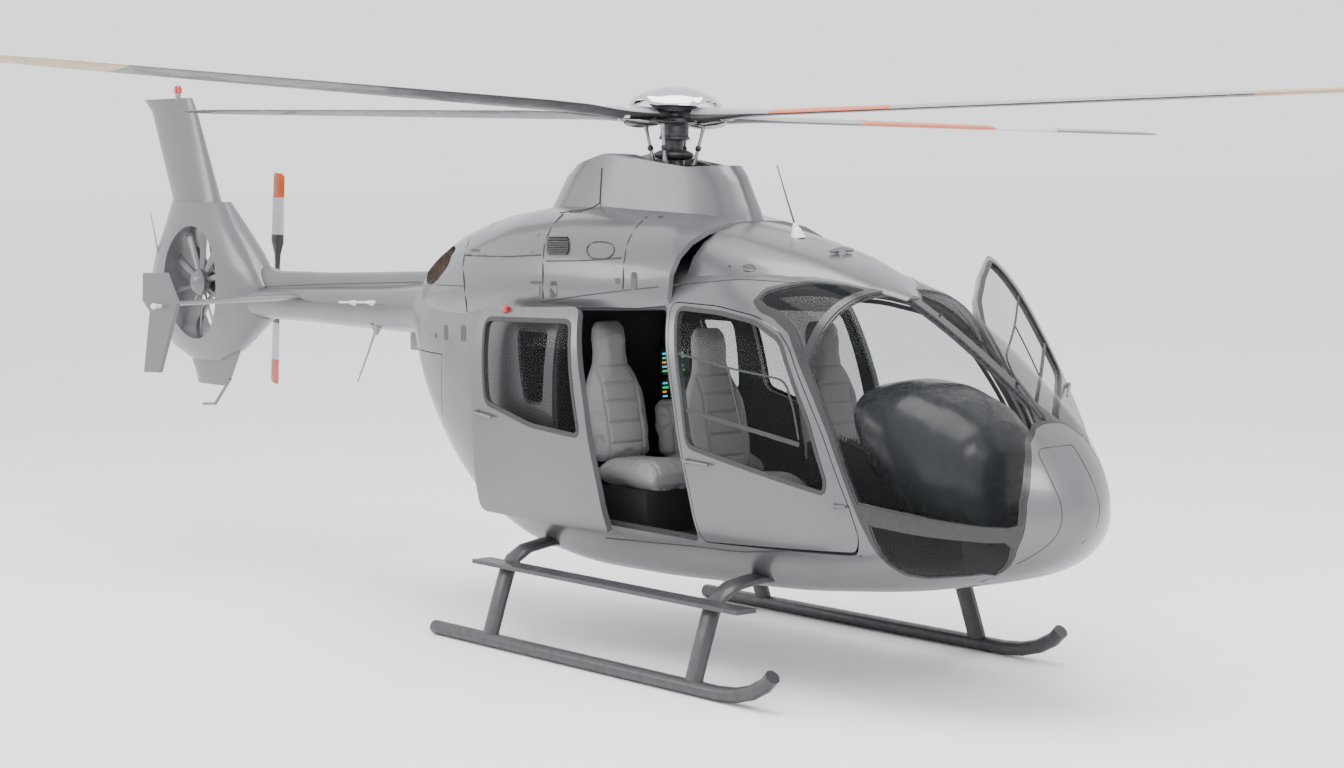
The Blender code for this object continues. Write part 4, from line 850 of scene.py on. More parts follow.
def lathe(profile, count=48, lift=None):
    """A turned surface: a (radius, height) profile carried round Z; lift adds height."""
    profile = np.asarray(profile, float)
    a = np.arange(count) * 2 * np.pi / count
    r, z = profile[:, 0, None], profile[:, 1, None]
    rise = np.zeros(r.shape[:1] + a.shape) if lift is None else lift(r, a)
    points = np.stack([r * np.cos(a), r * np.sin(a), z + rise], -1).reshape(-1, 3)
    return points, ring_faces(len(profile), count, ends=False, turned=True)


def loft(rows, count=20):
    """A closed form through sections along X: (x, y, z, half width, half height, square)."""
    rows = np.asarray(rows, float)
    a = np.arange(count) * 2 * np.pi / count
    n = 2.0 / rows[:, 5, None]
    points = np.stack([np.repeat(rows[:, :1], count, 1),
                       rows[:, 1, None] + rows[:, 3, None] * signed_power(np.cos(a), n),
                       rows[:, 2, None] + rows[:, 4, None] * signed_power(np.sin(a), n)], -1)
    return points.reshape(-1, 3), ring_faces(len(rows), count)


cowls = [skins[n] for n in ("roof_ramp", "engine_cowl", "exhaust_cowl", "mast_fairing")]
body_skins = cowls + [cabin, cap]
COWL_SEAMS = [
    [(647, 217), (637, 226), (628, 240), (624, 262), (623, 289)],
    [(563, 214), (552, 226), (544, 244), (543, 270), (543, 298)],
    [(471, 237), (464, 255), (463, 268), (465, 290), (468, 318), (473, 336)],
    [(465, 255), (503, 257), (541, 255)], [(546, 261), (582, 261), (621, 258)],
    [(437, 285), (463, 286)],
    [(602, 168), (601, 185), (600, 203)], [(600, 203), (594, 209), (560, 213)],
    [(587, 248), (587, 259), (612, 259), (616, 252), (616, 243), (590, 241), (587, 248)]]
gather("cowl_seams", [strip(*sighted(line, cowls), 0.006, 0.005) for line in COWL_SEAMS],
       mat_rubber, "airframe")
BODY_SEAMS = [[(541, 302), (580, 296), (620, 291), (676, 285), (740, 279), (816, 284)],
              [(606, 538), (700, 547), (740, 552), (800, 551), (862, 556)]]
gather("body_seams", [strip(*sighted(line, body_skins), 0.007, 0.002) for line in BODY_SEAMS],
       mat_rubber, "airframe")
NOSE_HATCH = [[(1072, 445), (1035, 449), (1044, 465), (1054, 487), (1061, 502), (1062.5, 517),
               (1061, 529), (1054, 539), (1046, 547), (1031, 557), (1017, 564)],
              [(1072, 445), (1079, 455), (1089, 474), (1097, 493), (1100, 508), (1099, 521),
               (1094, 532), (1082, 543)]]
gather("nose_hatch_seams", [strip(*sighted(line, [cap, cabin]), 0.005, 0.002)
                            for line in NOSE_HATCH], mat_rubber, "airframe",
       mirrored=False)
# dark plates over the cowls' slots: painted shade in the openings
SLOTS = [((550, 281), (557, 298)), ((631, 272), (637, 290)), ((444, 325), (448, 340)),
         ((461, 325), (466, 341)), ((615, 278), (620, 284)), ((531, 281), (541, 284)),
         ((471, 249), (480, 251.5)), ((435, 333), (437, 338)), ((658, 216), (663, 218)),
         ((568, 210), (582, 213))]
gather("cowl_slots", [patch(a, b, cowls + [cabin], 0.002) for a, b in SLOTS], mat_print_and_shade,
       "airframe", smooth=False)
FLAPS = [((532, 285), (540, 297)), ((472, 252.5), (479.5, 256.5)), ((483, 253), (486, 255)),
         ((530, 250), (532.5, 253)), ((537.5, 233), (539.5, 236))]
gather("cowl_flaps", [patch(a, b, cowls, 0.004) for a, b in FLAPS], mat_silver, "airframe",
       smooth=False)

# the louvre: eight slots in an oval of the cowling's side, drawn as dark bars: painted shade in the
# openings
LOUVRE_AT, LOUVRE_REACH = (558.5, 246.0), (11.0, 11.5)
louvre = []
for row in np.linspace(LOUVRE_AT[1] - 8.0, LOUVRE_AT[1] + 8.0, 8):
    down = abs((row - LOUVRE_AT[1]) / LOUVRE_REACH[1])
    reach = LOUVRE_REACH[0] * (1.0 - down ** 3.0) ** (1.0 / 3.0)
    slot = [(LOUVRE_AT[0] - reach, row), (LOUVRE_AT[0] + reach, row)]
    louvre.append(strip(*sighted(slot, cowls, 3.0), 0.0085, 0.011))
gather("cowl_louvre", louvre, mat_print_and_shade, "airframe")
# the flush air inlet and a button beside it, on the ramp; the inlet is a dark plate, painted shade
# in its mouth
INLET, BUTTON = ((742, 264), (756, 272)), ((728.6, 265), (731, 267.4))
gather("ramp_inlet", [patch(*INLET, cowls, 0.001, square=2.2),
                      patch(*BUTTON, cowls, 0.002, square=2.0)], mat_print_and_shade,
       "airframe", smooth=False)


# Roof aerials. A whip on a white cone ahead of the mast, a small fitting ahead of it,
# and a lamp over the sliding door.
mat_white, tree, shader = finish_of("white_enamel", "#d9dadb", 0.3)
mottle(tree, shader, "#dadbdc", "#cfd0d1", 30.0, 0.6, rough=(0.25, 0.38))
mat_steel, tree, shader = finish_of("machined_steel", "#8d8e90", 0.32, 1.0)
mottle(tree, shader, "#8f9092", "#7f8082", 15.0, 0.7, rough=(0.25, 0.4))
mat_red, tree, shader = finish_of("red_lens", "#b01217", 0.15, Coat_Weight=0.6)
mottle(tree, shader, "#b21318", "#96090f", 12.0, 0.7, rough=(0.1, 0.22))
mat_cast, tree, shader = finish_of("dark_cast_metal", "#3f4043", 0.45, 0.6)
mottle(tree, shader, "#434447", "#333437", 25.0, 0.8, bump=0.2, rough=(0.38, 0.55))
WHIP_AT, DOOR_LAMP_AT, ROOF_FITTING_AT = (798, 236), (506, 311), (841, 253)
foot = sighted([WHIP_AT], cowls)[0][0]
gather("roof_whip_cone", [tube([foot + (0, 0, -0.02), foot + (0, 0.012, 0.03),
                                foot + (0, 0.03, 0.075)], [0.055, 0.030, 0.010], 20)],
       mat_white, "airframe", mirrored=False)
gather("roof_whip", [tube([foot + (0, 0.025, 0.06), foot + (0, 0.11, 0.24),
                           foot + (0, 0.19, 0.42)], [0.006, 0.0045, 0.003])],
       mat_dark, "airframe", mirrored=False)
lamp_at = sighted([DOOR_LAMP_AT], [skins["sliding_door_starboard"], cabin])[0][0]
gather("door_lamp", [tube([lamp_at + (-0.004, -0.035, 0.012), lamp_at + (-0.006, 0.0, 0.014),
                           lamp_at + (-0.004, 0.035, 0.012)], [0.018, 0.026, 0.018], 16)],
       mat_red, "airframe", mirrored=False)
at = sighted([ROOF_FITTING_AT], cowls)[0][0]
gather("roof_fitting", [tube([at + (-0.08, 0.0, 0.012), at + (0.0, 0.0, 0.022),
                              at + (0.09, 0.0, 0.015)], [0.010, 0.018, 0.010]),
                        tube([at + (0, 0, -0.02), at + (0, 0, 0.02)], 0.03, 14)],
       mat_steel, "airframe", mirrored=False)


# Door fittings. Black bars across the front panes, with silver levers and catches; the
# port door carries mirrored ones.
BARS = [[(677, 353), (728, 368), (785, 380), (794, 410), (799, 440)], [(728, 368), (741, 425)]]
RAIL = [(687, 410), (800, 445)]
FRONT_LEVER, FRONT_CATCH = ((687, 461), (711, 465)), ((834, 506), (847, 507))
SLIDE_LEVER = ((477, 412), (494, 417))


def to_side(parts, side):
    """Parts for one side of the craft: as drawn for 1, mirrored for -1."""
    return [(points * (side, 1, 1), faces if side > 0 else [f[::-1] for f in faces])
            for points, faces in parts]


glass = [skins["front_door_pane_starboard"]]
bars = [strip(*sighted(line, glass), 0.012, 0.004) for line in BARS]
bars.append(strip(*sighted(RAIL, glass), 0.026, 0.006))
for label, side, move in (("starboard", 1, None), ("port", -1, swing_port)):
    gather(f"window_frame_{label}", to_side(bars, side), mat_rubber, f"front_door_{label}",
           mirrored=False, move=move)


def lever(start, end, piece, lift=0.022):
    """A door handle: a bar between two pixels, standing off the skin on a foot at its first end."""
    places, normals = sighted([start, end], [piece], 40.0)
    out = places + normals * lift
    bar_ends = np.stack([out[0], 0.5 * (out[0] + out[-1]), out[-1]])
    return [tube(bar_ends, [0.008, 0.010, 0.007]),
            tube(np.stack([places[0] - normals[0] * 0.01, out[0]]), 0.016)]


front_levers = (lever(*FRONT_LEVER, skins["front_door_starboard"])
                + lever(*FRONT_CATCH, skins["front_door_starboard"], 0.012))
for label, side, move in (("starboard", 1, None), ("port", -1, swing_port)):
    gather(f"front_door_lever_{label}", to_side(front_levers, side), mat_silver,
           f"front_door_{label}", mirrored=False, move=move)
gather("sliding_door_lever_starboard", lever(*SLIDE_LEVER, skins["sliding_door_starboard"]),
       mat_silver, "airframe", mirrored=False)


# Wiper. A black steel arm and blade parked on the starboard windscreen.
WIPER = [(1056, 437), (1020, 388), (985, 345)]
BLADE_LINE = [(995, 352), (966, 330), (940, 315)]
screen = [skins["windscreen_pane_starboard"], cabin]
arm, out = sighted(WIPER, screen, 12.0)
rubber, rubber_out = sighted(BLADE_LINE, screen, 8.0)
gather("wiper", [tube(arm + out * 0.020, 0.008), tube(rubber + rubber_out * 0.012, 0.006),
                 tube([arm[0] - out[0] * 0.01, arm[0] + out[0] * 0.035], 0.022, 16)],
       mat_rubber, "airframe", mirrored=False)


# Tail fittings. A red beacon on the fin, rods and blades of the aerials, and a lamp on the
# endplate, all bolted on.
BEACON_AT, ENDPLATE_LAMP_AT, SHROUD_ROD_AT = (176, 100), (161, 306), (158, 252)
BELLY_ROD_AT, BOOM_FIN_AT, BOOM_RAIL = (377, 328), (404, 329), [(346, 303), (382, 303)]
BOOM_SEAM = [(255, 287), (330, 284), (420, 282)]


def stub(pixel, piece, steps, radius, count=12):
    """A rod that starts on a skin at a pixel and runs through the given steps in metres."""
    places, _ = sighted([pixel], [skins[piece]])
    return tube(places[0] + np.asarray(steps, float), radius, count)


gather("fin_beacon_foot", [stub(BEACON_AT, "fan_shroud", [(0.02, 0, -0.01), (0.02, 0, 0.055)],
                                0.022, 20)], mat_steel, "airframe", mirrored=False)
BEACON_STEPS = [(0.02, 0, 0.055), (0.02, 0, 0.095), (0.02, 0, 0.112), (0.02, 0, 0.118)]
gather("fin_beacon", [stub(BEACON_AT, "fan_shroud", BEACON_STEPS, [0.032, 0.032, 0.022, 0.004],
                           20)], mat_red, "airframe", mirrored=False)
LAMP_FOOT, LAMP_BODY = [(0.01, 0, 0), (-0.04, 0, 0)], [(-0.04, 0, 0), (-0.060, 0, 0), (-0.08, 0, 0)]
gather("endplate_lamp", [stub(ENDPLATE_LAMP_AT, "tailplane", LAMP_FOOT, 0.014, 18),
                         stub(ENDPLATE_LAMP_AT, "tailplane", LAMP_BODY, [0.020, 0.024, 0.012],
                              18)], mat_white, "airframe")
SHROUD_ROD, BELLY_ROD = ([(0, 0, -0.01), (0, 0.05, 0.15), (0, 0.12, 0.33)],
                         [(0, 0, 0.01), (0, 0.14, -0.20), (0, 0.29, -0.41)])
gather("tail_rods", [stub(SHROUD_ROD_AT, "fan_shroud", SHROUD_ROD, [0.008, 0.006, 0.004]),
                     stub(BELLY_ROD_AT, "tail_boom", BELLY_ROD, [0.010, 0.008, 0.005]),
                     stub(BELLY_ROD_AT, "tail_boom", [(0, 0, 0.03), (0, 0.01, -0.05)],
                          [0.05, 0.012])], mat_steel, "airframe", mirrored=False)
rail, rail_out = sighted(BOOM_RAIL, [skins["tail_boom"]], 9.0)
rail_line = rail + rail_out * 0.055
gather("boom_rail_aerial", [tube(rail_line, 0.008)]
       + [tube([rail[n], rail_line[n]], [0.022, 0.009]) for n in (1, -2)], mat_white, "airframe",
       mirrored=False)
BOOM_FIN = [(-0.08, 0.0, -0.02, 0.012, 0.125, 2.2), (0.09, 0.0, 0.0, 0.010, 0.120, 2.2),
            (0.16, 0.0, 0.015, 0.007, 0.105, 2.2), (0.17, 0.0, 0.018, 0.003, 0.095, 2.2)]
blade_points, blade_faces = loft(BOOM_FIN)
fin_foot = sighted([BOOM_FIN_AT], [skins["tail_boom"]])[0][0]
blade_points = np.stack([blade_points[:, 1], blade_points[:, 2], -blade_points[:, 0]], -1)
gather("boom_blade_aerial", [(blade_points + fin_foot * (0, 1, 1) + (0, 0, 0.01),
                              [f[::-1] for f in blade_faces])], mat_silver, "airframe",
       mirrored=False)
gather("boom_seam", [strip(*sighted(BOOM_SEAM, [skins["tail_boom"], skins["shaft_cover"]]),
                           0.006, 0.001)],
       mat_rubber, "airframe")


# Main rotor. A steel mast and hub under a polished cap, four forks, and four composite
# blades with painted bands. All of it turns on the mast, which leans a little to port.
mat_polished, tree, shader = finish_of("polished_aluminium", "#c9cacc", 0.1, 1.0)
mottle(tree, shader, "#cacbcd", "#c2c3c5", 80.0, 0.6, rough=(0.06, 0.16))
# dark, light and grey stand for one blade grey under different light: light and grey on the tops
# are painted light, dark on the undersides is painted shade; the tail rotor's blades wear the dark
# as their own paint. Orange, tan and white are the bands' own paint.
BLADE_PAINTS_AND_SHADES = {}
for key, base, other in (("dark", "#37383a", "#303133"), ("light", "#8f9193", "#85878a"),
                         ("grey", "#5b5d60", "#525457"),
                         ("orange", "#c4592a", "#b44e22"), ("tan", "#a98f63", "#9b8257"),
                         ("white", "#c3c5c7", "#b7b9bb")):
    BLADE_PAINTS_AND_SHADES[key], tree, shader = finish_of(f"blade_paint_and_shade_{key}", base, 0.4,
                                                Coat_Weight=0.2)
    mottle(tree, shader, base, other, 90.0, 0.7, rough=(0.34, 0.48))
ROTOR_Z, ROTOR_TILT, ROTOR_LEAD = 3.285, math.radians(2.6), 8.0
BLADE_PAINT_AND_SHADE_ORDER = ["dark", "light", "grey", "orange", "tan", "white"]


def on_rotor(points, turn=0.0):
    """Points of the rotor, turned about its mast and then leant over with it."""
    c, s = math.cos(turn), math.sin(turn)
    x, y, z = np.moveaxis(np.asarray(points, float), -1, 0)
    x, y = x * c - y * s, x * s + y * c
    c, s = math.cos(ROTOR_TILT), math.sin(ROTOR_TILT)
    return np.stack([x * c + z * s, y, -x * s + z * c + ROTOR_Z], -1)


def cap_notches(r, a):
    """The cap's rim rises over each blade root."""
    off = (a - math.radians(ROTOR_LEAD) + np.pi / 4) % (np.pi / 2) - np.pi / 4
    return 0.030 / (1.0 + (off / 0.24) ** 8) * np.clip((r - 0.245) / 0.04, 0.0, 1.0)


def rotor_part(name, parts, mat, smooth=True):
    """One mesh of the rotor, placed on its mast."""
    return gather(name, [(on_rotor(points, turn), faces) for points, faces, turn in parts], mat,
                  "main_rotor", mirrored=False, smooth=smooth)


quarters = [math.radians(ROTOR_LEAD - 90.0 + 90.0 * n) for n in range(4)]
hub_cap = rotor_part("hub_cap", [(*lathe(
    [(0.0, 0.178), (0.05, 0.176), (0.10, 0.168), (0.15, 0.155), (0.19, 0.140), (0.22, 0.126),
     (0.25, 0.108), (0.275, 0.088), (0.290, 0.070), (0.297, 0.056), (0.297, 0.051),
     (0.285, 0.053), (0.22, 0.080), (0.0, 0.090)], 144, cap_notches), 0.0)], mat_polished)
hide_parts("rotor_head")
rotor_part("hub_and_mast", [(*lathe(
    [(0.0, 0.060), (0.135, 0.058), (0.150, 0.048), (0.152, 0.020), (0.120, 0.006),
     (0.120, -0.010), (0.152, -0.024), (0.150, -0.046), (0.095, -0.060), (0.088, -0.070),
     (0.088, -0.130), (0.096, -0.135), (0.096, -0.150), (0.064, -0.156), (0.056, -0.170),
     (0.055, -0.215), (0.090, -0.219), (0.118, -0.234), (0.124, -0.250), (0.116, -0.266),
     (0.080, -0.274), (0.0595, -0.280), (0.0595, -0.482), (0.0, -0.482)]), 0.0)], mat_cast)
FORK = [(0.09, 0, 0, 0.070, 0.036, 3.0), (0.17, 0, 0, 0.062, 0.032, 3.0),
        (0.235, 0, 0, 0.045, 0.026, 3.0), (0.30, 0, 0.002, 0.040, 0.022, 3.0)]
LEAD_DAMPER = [(0.18, 0.03, -0.052, 0.020, 0.012, 2.2), (0.22, 0.03, -0.056, 0.060, 0.020, 2.2),
               (0.30, 0.02, -0.056, 0.072, 0.022, 2.2), (0.38, 0.01, -0.050, 0.058, 0.018, 2.2),
               (0.44, 0.0, -0.042, 0.018, 0.010, 2.2)]
HORN = [(0.12, 0.105, -0.045, 0.020, 0.010, 2.6), (0.20, 0.085, -0.048, 0.030, 0.013, 2.6),
        (0.28, 0.050, -0.046, 0.028, 0.012, 2.6)]
rotor_part("blade_forks", [(*loft(FORK), q) for q in quarters]
           + [(*loft(HORN), q) for q in quarters], mat_cast)
rotor_part("lead_lag_dampers", [(*loft(LEAD_DAMPER), q) for q in quarters], mat_steel)
BOLT = [(0.0, 0.034), (0.015, 0.034), (0.019, 0.026), (0.019, -0.036), (0.0, -0.038)]
bolt_points, bolt_faces = lathe(BOLT, 16)
rotor_part("blade_bolts", [(bolt_points + (0.45, off, 0.0), bolt_faces, q) for q in quarters
                           for off in (-0.035, 0.035)], mat_white)


# a blade's sections: span, leading and trailing edge, height, half thickness, pitch
BLADE = np.array([(0.180, -0.050, 0.050, 0.000, 0.026, 0.0),
                  (0.205, -0.072, 0.072, 0.000, 0.040, 0.0),
                  (0.300, -0.080, 0.080, 0.000, 0.044, 1.0),
                  (0.450, -0.082, 0.084, 0.000, 0.036, 2.0),
                  (0.620, -0.092, 0.105, 0.004, 0.026, 4.0),
                  (0.860, -0.120, 0.165, 0.010, 0.018, 6.0),
                  (1.200, -0.125, 0.165, 0.018, 0.017, 7.0),
                  (4.500, -0.125, 0.165, 0.072, 0.014, 3.0),
                  (4.900, -0.110, 0.150, 0.078, 0.012, 2.0),
                  (5.100, -0.040, 0.120, 0.080, 0.008, 2.0)])


def blade(number, turn, bands):
    """A blade: a pointed oval section carried out along the span, twisted by its pitch.

    bands give (start, end, top colour, under colour) along the span in metres; a grey band's top
    colour is painted light and its under colour painted shade.
    """
    edges = [e for band in bands for e in band[:2]]
    x = np.unique(np.round(np.concatenate([np.linspace(0.180, 1.2, 40), np.linspace(1.2, 5.1, 60),
                                           edges]), 4))
    front, rear, z, thick, pitch = [np.interp(x, BLADE[:, 0], BLADE[:, k])[:, None]
                                    for k in range(1, 6)]
    count = 28
    a = np.arange(count) * 2 * np.pi / count
    chord = 0.5 * (rear - front) * np.cos(a)
    high = thick * np.sin(a) * (1.0 - 0.35 * np.cos(a))
    t = np.radians(pitch)
    points = np.stack([np.broadcast_to(x[:, None], chord.shape),
                       0.5 * (front + rear) + chord * np.cos(t) - high * np.sin(t),
                       z + chord * np.sin(t) + high * np.cos(t)], -1)
    middle = (0.5 * (x[:-1] + x[1:]))[:, None] * np.ones(count)
    above = (np.sin(a + np.pi / count) > 0)[None] * np.ones(middle.shape)
    paint = np.zeros(middle.shape, int)
    for start, end, top, under in bands:
        here = (middle > start) & (middle < end)
        paint[here & (above > 0)] = BLADE_PAINT_AND_SHADE_ORDER.index(top)
        paint[here & (above == 0)] = BLADE_PAINT_AND_SHADE_ORDER.index(under)
    faces = ring_faces(len(x), count)
    index = np.concatenate([paint.ravel(), [0, paint[-1, 0]]])
    obj = add_mesh(f"main_blade_{number}_painted", on_rotor(points.reshape(-1, 3), turn), faces,
                   [BLADE_PAINTS_AND_SHADES[key] for key in BLADE_PAINT_AND_SHADE_ORDER], index)
    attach(obj, "main_rotor")
    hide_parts(f"main_blade_{number}")


NOSE_BANDS = [(0.18, 0.90, "light", "dark"), (0.90, 1.85, "orange", "dark"),
              (1.85, 4.30, "light", "dark"), (4.30, 5.10, "tan", "tan")]
PORT_BANDS = [(0.18, 1.65, "light", "dark"), (1.65, 3.05, "orange", "orange"),
              (3.05, 3.75, "white", "white"), (3.75, 5.10, "light", "dark")]
TAIL_BANDS = [(0.18, 0.90, "light", "dark"), (0.90, 5.10, "grey", "dark")]
STARBOARD_BANDS = [(0.18, 0.90, "light", "dark"), (0.90, 4.15, "grey", "dark"),
                   (4.15, 5.10, "tan", "tan")]
for number, bands in enumerate((NOSE_BANDS, PORT_BANDS, TAIL_BANDS, STARBOARD_BANDS)):
    blade(number + 1, quarters[number], bands)


# Swashplate and pitch links. A turned steel plate round the mast, and four rods with
# rod ends up to the blades' horns; scissor arms and bolts crowd the well.
lead = math.radians(22.0)
LINK = np.array([(0.112, -0.392), (0.128, -0.335), (0.134, -0.316), (0.138, -0.300),
                 (0.150, -0.250), (0.178, -0.140), (0.200, -0.052)])
links = []
for q in quarters:
    spot = np.array([math.cos(lead), math.sin(lead)])
    path = np.concatenate([LINK[:, :1] * spot, LINK[:, 1:]], 1)
    links.append((*tube(path, [0.014, 0.012, 0.019, 0.019, 0.011, 0.010, 0.015], 14), q))
plate = rotor_part("swashplate_and_links", [(*lathe(
    [(0.0603, -0.352), (0.085, -0.352), (0.090, -0.366), (0.128, -0.370), (0.135, -0.378),
     (0.135, -0.408), (0.128, -0.415), (0.0603, -0.415)]), 0.0)] + links, mat_steel)
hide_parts("swashplate")
collars = []
for q in quarters:
    at = [(0.157 * math.cos(lead), 0.157 * math.sin(lead), -0.222),
          (0.161 * math.cos(lead), 0.161 * math.sin(lead), -0.206),
          (0.166 * math.cos(lead), 0.166 * math.sin(lead), -0.190)]
    collars.append((*tube(at, [0.014, 0.020, 0.014], 14), q))
rotor_part("link_collars", collars, mat_cast)
ARM = [(0.055, 0, -0.33, 0.018, 0.012, 2.6), (0.10, 0.01, -0.30, 0.014, 0.010, 2.6),
       (0.125, 0.02, -0.345, 0.012, 0.012, 2.6), (0.11, 0.02, -0.375, 0.010, 0.008, 2.6)]
rotor_part("scissor_arms", [(*loft(ARM), q + 0.9) for q in quarters], mat_cast)


# Tail rotors. The ducted fan turns inside the shroud; the open one, with banded blades,
# stands on a post on the port side. The engines are one plain block.
for name, mat, slot_name, body in (("duct_fan", mat_silver, "silver_paint", "duct_fan"),
                                   ("engines", mat_steel, "steel", "airframe")):
    smooth_copy(name, f"{name}_body", mat, body)
tail_blades = smooth_copy("tail_rotor", "tail_rotor_body", BLADE_PAINTS_AND_SHADES["dark"],
                          "tail_rotor")
FAN_Y, FAN_Z, BAND_ENDS = 6.20, 2.06, (0.36, 0.66)
cut = bmesh.new()
cut.from_mesh(tail_blades.data)
for reach in BAND_ENDS:
    for sign in (-1, 1):
        bmesh.ops.bisect_plane(cut, geom=cut.verts[:] + cut.edges[:] + cut.faces[:],
                               plane_co=(0, FAN_Y + MAST_Y, FAN_Z + sign * reach),
                               plane_no=(0, 0, 1))
cut.to_mesh(tail_blades.data)
cut.free()
for key in ("white", "orange"):
    tail_blades.data.materials.append(BLADE_PAINTS_AND_SHADES[key])
centre = np.zeros(len(tail_blades.data.polygons) * 3)
tail_blades.data.polygons.foreach_get("center", centre)
reach = np.abs(centre.reshape(-1, 3)[:, 2] - FAN_Z)
tail_blades.data.polygons.foreach_set("material_index",
                                      np.digitize(reach, BAND_ENDS).astype(np.int32))


# Landing gear. Aluminium tubes and boards in dark grey paint.
for name in ("skid_port", "skid_starboard", "cross_tube_front", "cross_tube_rear", "step_port",
             "step_starboard"):
    smooth_copy(name, f"{name}_painted", mat_dark)


# Inside. Floor, wall, console, rack and seat bases in dark grey moulded trim.
mat_trim, tree, shader = finish_of("moulded_trim", "#222325", 0.6)
mottle(tree, shader, "#242527", "#1d1e20", 4.0, 0.7, bump=0.2, rough=(0.5, 0.7))
for name in ("cabin_floor", "rear_bulkhead", "centre_console", "mission_rack",
             "front_seat_base_port", "front_seat_base_starboard", "rear_seat_base"):
    skins[name] = smooth_copy(name, f"{name}_trim", mat_trim)


# Instrument cowl. One moulded dark grey hood on a stem, from the nose to the panel's face.
mat_hood, tree, shader = finish_of("slate_moulding", "#3c3e41", 0.28, Coat_Weight=0.2)
mottle(tree, shader, "#3e4043", "#36383b", 60.0, 0.6, rough=(0.22, 0.34))
HOOD = [(-2.99, .14, .98, 1.26, 1.41), (-2.90, .30, .94, 1.30, 1.56),
        (-2.70, .40, .92, 1.36, 1.68), (-2.45, .44, .95, 1.42, 1.755),
        (-2.25, .43, 1.15, 1.50, 1.77), (-2.12, .38, 1.35, 1.58, 1.75),
        (-2.09, .30, 1.48, 1.62, 1.72)]


def hood(rows, count=48, steps=30):
    """A closed form through ovals along Y: (y, half width, low, middle, high)."""
    rows = np.asarray(rows, float)
    y = np.linspace(rows[0, 0], rows[-1, 0], steps)
    half, low, mid, high = [np.interp(y, rows[:, 0], rows[:, k])[:, None] for k in (1, 2, 3, 4)]
    a = np.arange(count) * 2 * np.pi / count
    c, n = signed_power(np.cos(a), 2 / 2.3), signed_power(np.sin(a), 2 / 2.3)
    points = np.stack([half * c, np.broadcast_to(y[:, None], (steps, count)),
                       mid + np.where(n > 0, high - mid, mid - low) * n], -1)
    return points.reshape(-1, 3), ring_faces(steps, count, turned=True)


cowl = gather("instrument_hood", [hood(HOOD)], mat_hood, "airframe",
              mirrored=False)
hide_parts("instrument_panel")


def slab(low, high):
    """A box between two corners."""
    low, high = np.asarray(low, float), np.asarray(high, float)
    pick = np.array([[0, 0, 0], [1, 0, 0], [1, 1, 0], [0, 1, 0], [0, 0, 1], [1, 0, 1], [1, 1, 1],
                     [0, 1, 1]])
    return low + pick * (high - low), [[0, 3, 2, 1], [4, 5, 6, 7], [0, 1, 5, 4], [1, 2, 6, 5],
                                       [2, 3, 7, 6], [3, 0, 4, 7]]


# Console. Rows of knobs and selector buttons stand on its top.
knobs = []
console_top = BVHTree.FromObject(skins["centre_console"],
                                 bpy.context.evaluated_depsgraph_get())
for row in range(7):
    for column in range(3):
        spot = np.array([-0.075 + 0.075 * column, -2.05 + 0.115 * row, 0.0])
        hit = console_top.ray_cast(Vector((spot[0], spot[1] + MAST_Y, 2.2)), Vector((0, 0, -1)))
        if hit[0] is None:
            continue
        spot[2] = hit[0].z
        tall = 0.022 if (row + column) % 2 else 0.012
        points, faces = lathe([(0.0, tall), (0.012, tall), (0.016, 0.0), (0.016, -0.004),
                               (0.0, -0.004)], 14)
        knobs.append((points + spot, faces))
gather("console_knobs", knobs, mat_steel, "airframe", mirrored=False)


# Screens. Two glass displays on the equipment rack's front, lit with plain bars.
mat_screen, tree, shader = finish_of("display_glass", "#06080a", 0.08)
mottle(tree, shader, "#06080a", "#0b0e11", 60.0, 0.5, rough=(0.06, 0.12))
SCREENS = [((0.16, 1.625), (0.40, 1.80)), ((0.16, 1.435), (0.40, 1.605)),
           ((0.42, 1.625), (0.61, 1.80)), ((0.42, 1.435), (0.61, 1.605))]
gather("rack_screens", [slab((a[0], 0.405, a[1]), (b[0], 0.425, b[1])) for a, b in SCREENS],
       mat_screen, "airframe", mirrored=False, smooth=False)
for key, base, rows in (("green", "#2fae5a", (0, 3)), ("cyan", "#3aa5c8", (1, 4)),
                        ("amber", "#c48a2c", (2,))):
    mat_lit, tree, shader = finish_of(f"lit_{key}_segments", base, 0.3, Emission_Strength=1.6)
    shader.inputs["Emission Color"].default_value = srgb(base)
    bars = []
    for a, b in SCREENS:
        for row in rows:
            z = a[1] + 0.022 + row * 0.028
            for cell in range(3):
                x = a[0] + 0.02 + cell * 0.065
                bars.append(slab((x, 0.403, z), (x + 0.045 - 0.008 * (row % 3), 0.406, z + 0.012)))
    gather(f"screen_segments_{key}", bars, mat_lit, "airframe",
           mirrored=False, smooth=False)


# Padding. Foam under sewn grey leather on moulded bases: a back and a cushion to each
# place, blown up as cloth, then sewn across the middle panel and along both bolsters.
mat_leather, tree, shader = finish_of("seat_leather", "#8d8e90", 0.55)
mottle(tree, shader, "#8f9092", "#828385", 5.0, 0.7, bump=0.3, rough=(0.45, 0.65))
BACK = [(.10, -.06, .055, .17), (.16, -.09, .075, .235), (.30, -.07, .095, .252),
        (.45, -.035, .12, .255), (.56, -.01, .135, .245), (.66, .01, .15, .205),
        (.74, .03, .16, .160), (.80, .035, .165, .148), (.90, .035, .17, .143),
        (.98, .045, .165, .125), (1.03, .08, .15, .08)]
LOW_BACK = [(.10, -.06, .055, .15), (.16, -.09, .075, .205), (.30, -.07, .095, .215),
            (.44, -.035, .12, .20), (.50, .0, .11, .15)]
CUSHION = [(-.62, .03, .10, .19), (-.58, .005, .15, .225), (-.45, 0, .17, .235),
           (-.25, 0, .155, .235), (-.05, 0, .15, .23), (.01, .02, .13, .21)]
PAD_Z, PAD_START, VOXEL, SWELL = 1.0203, 0.012, 0.011, 0.024


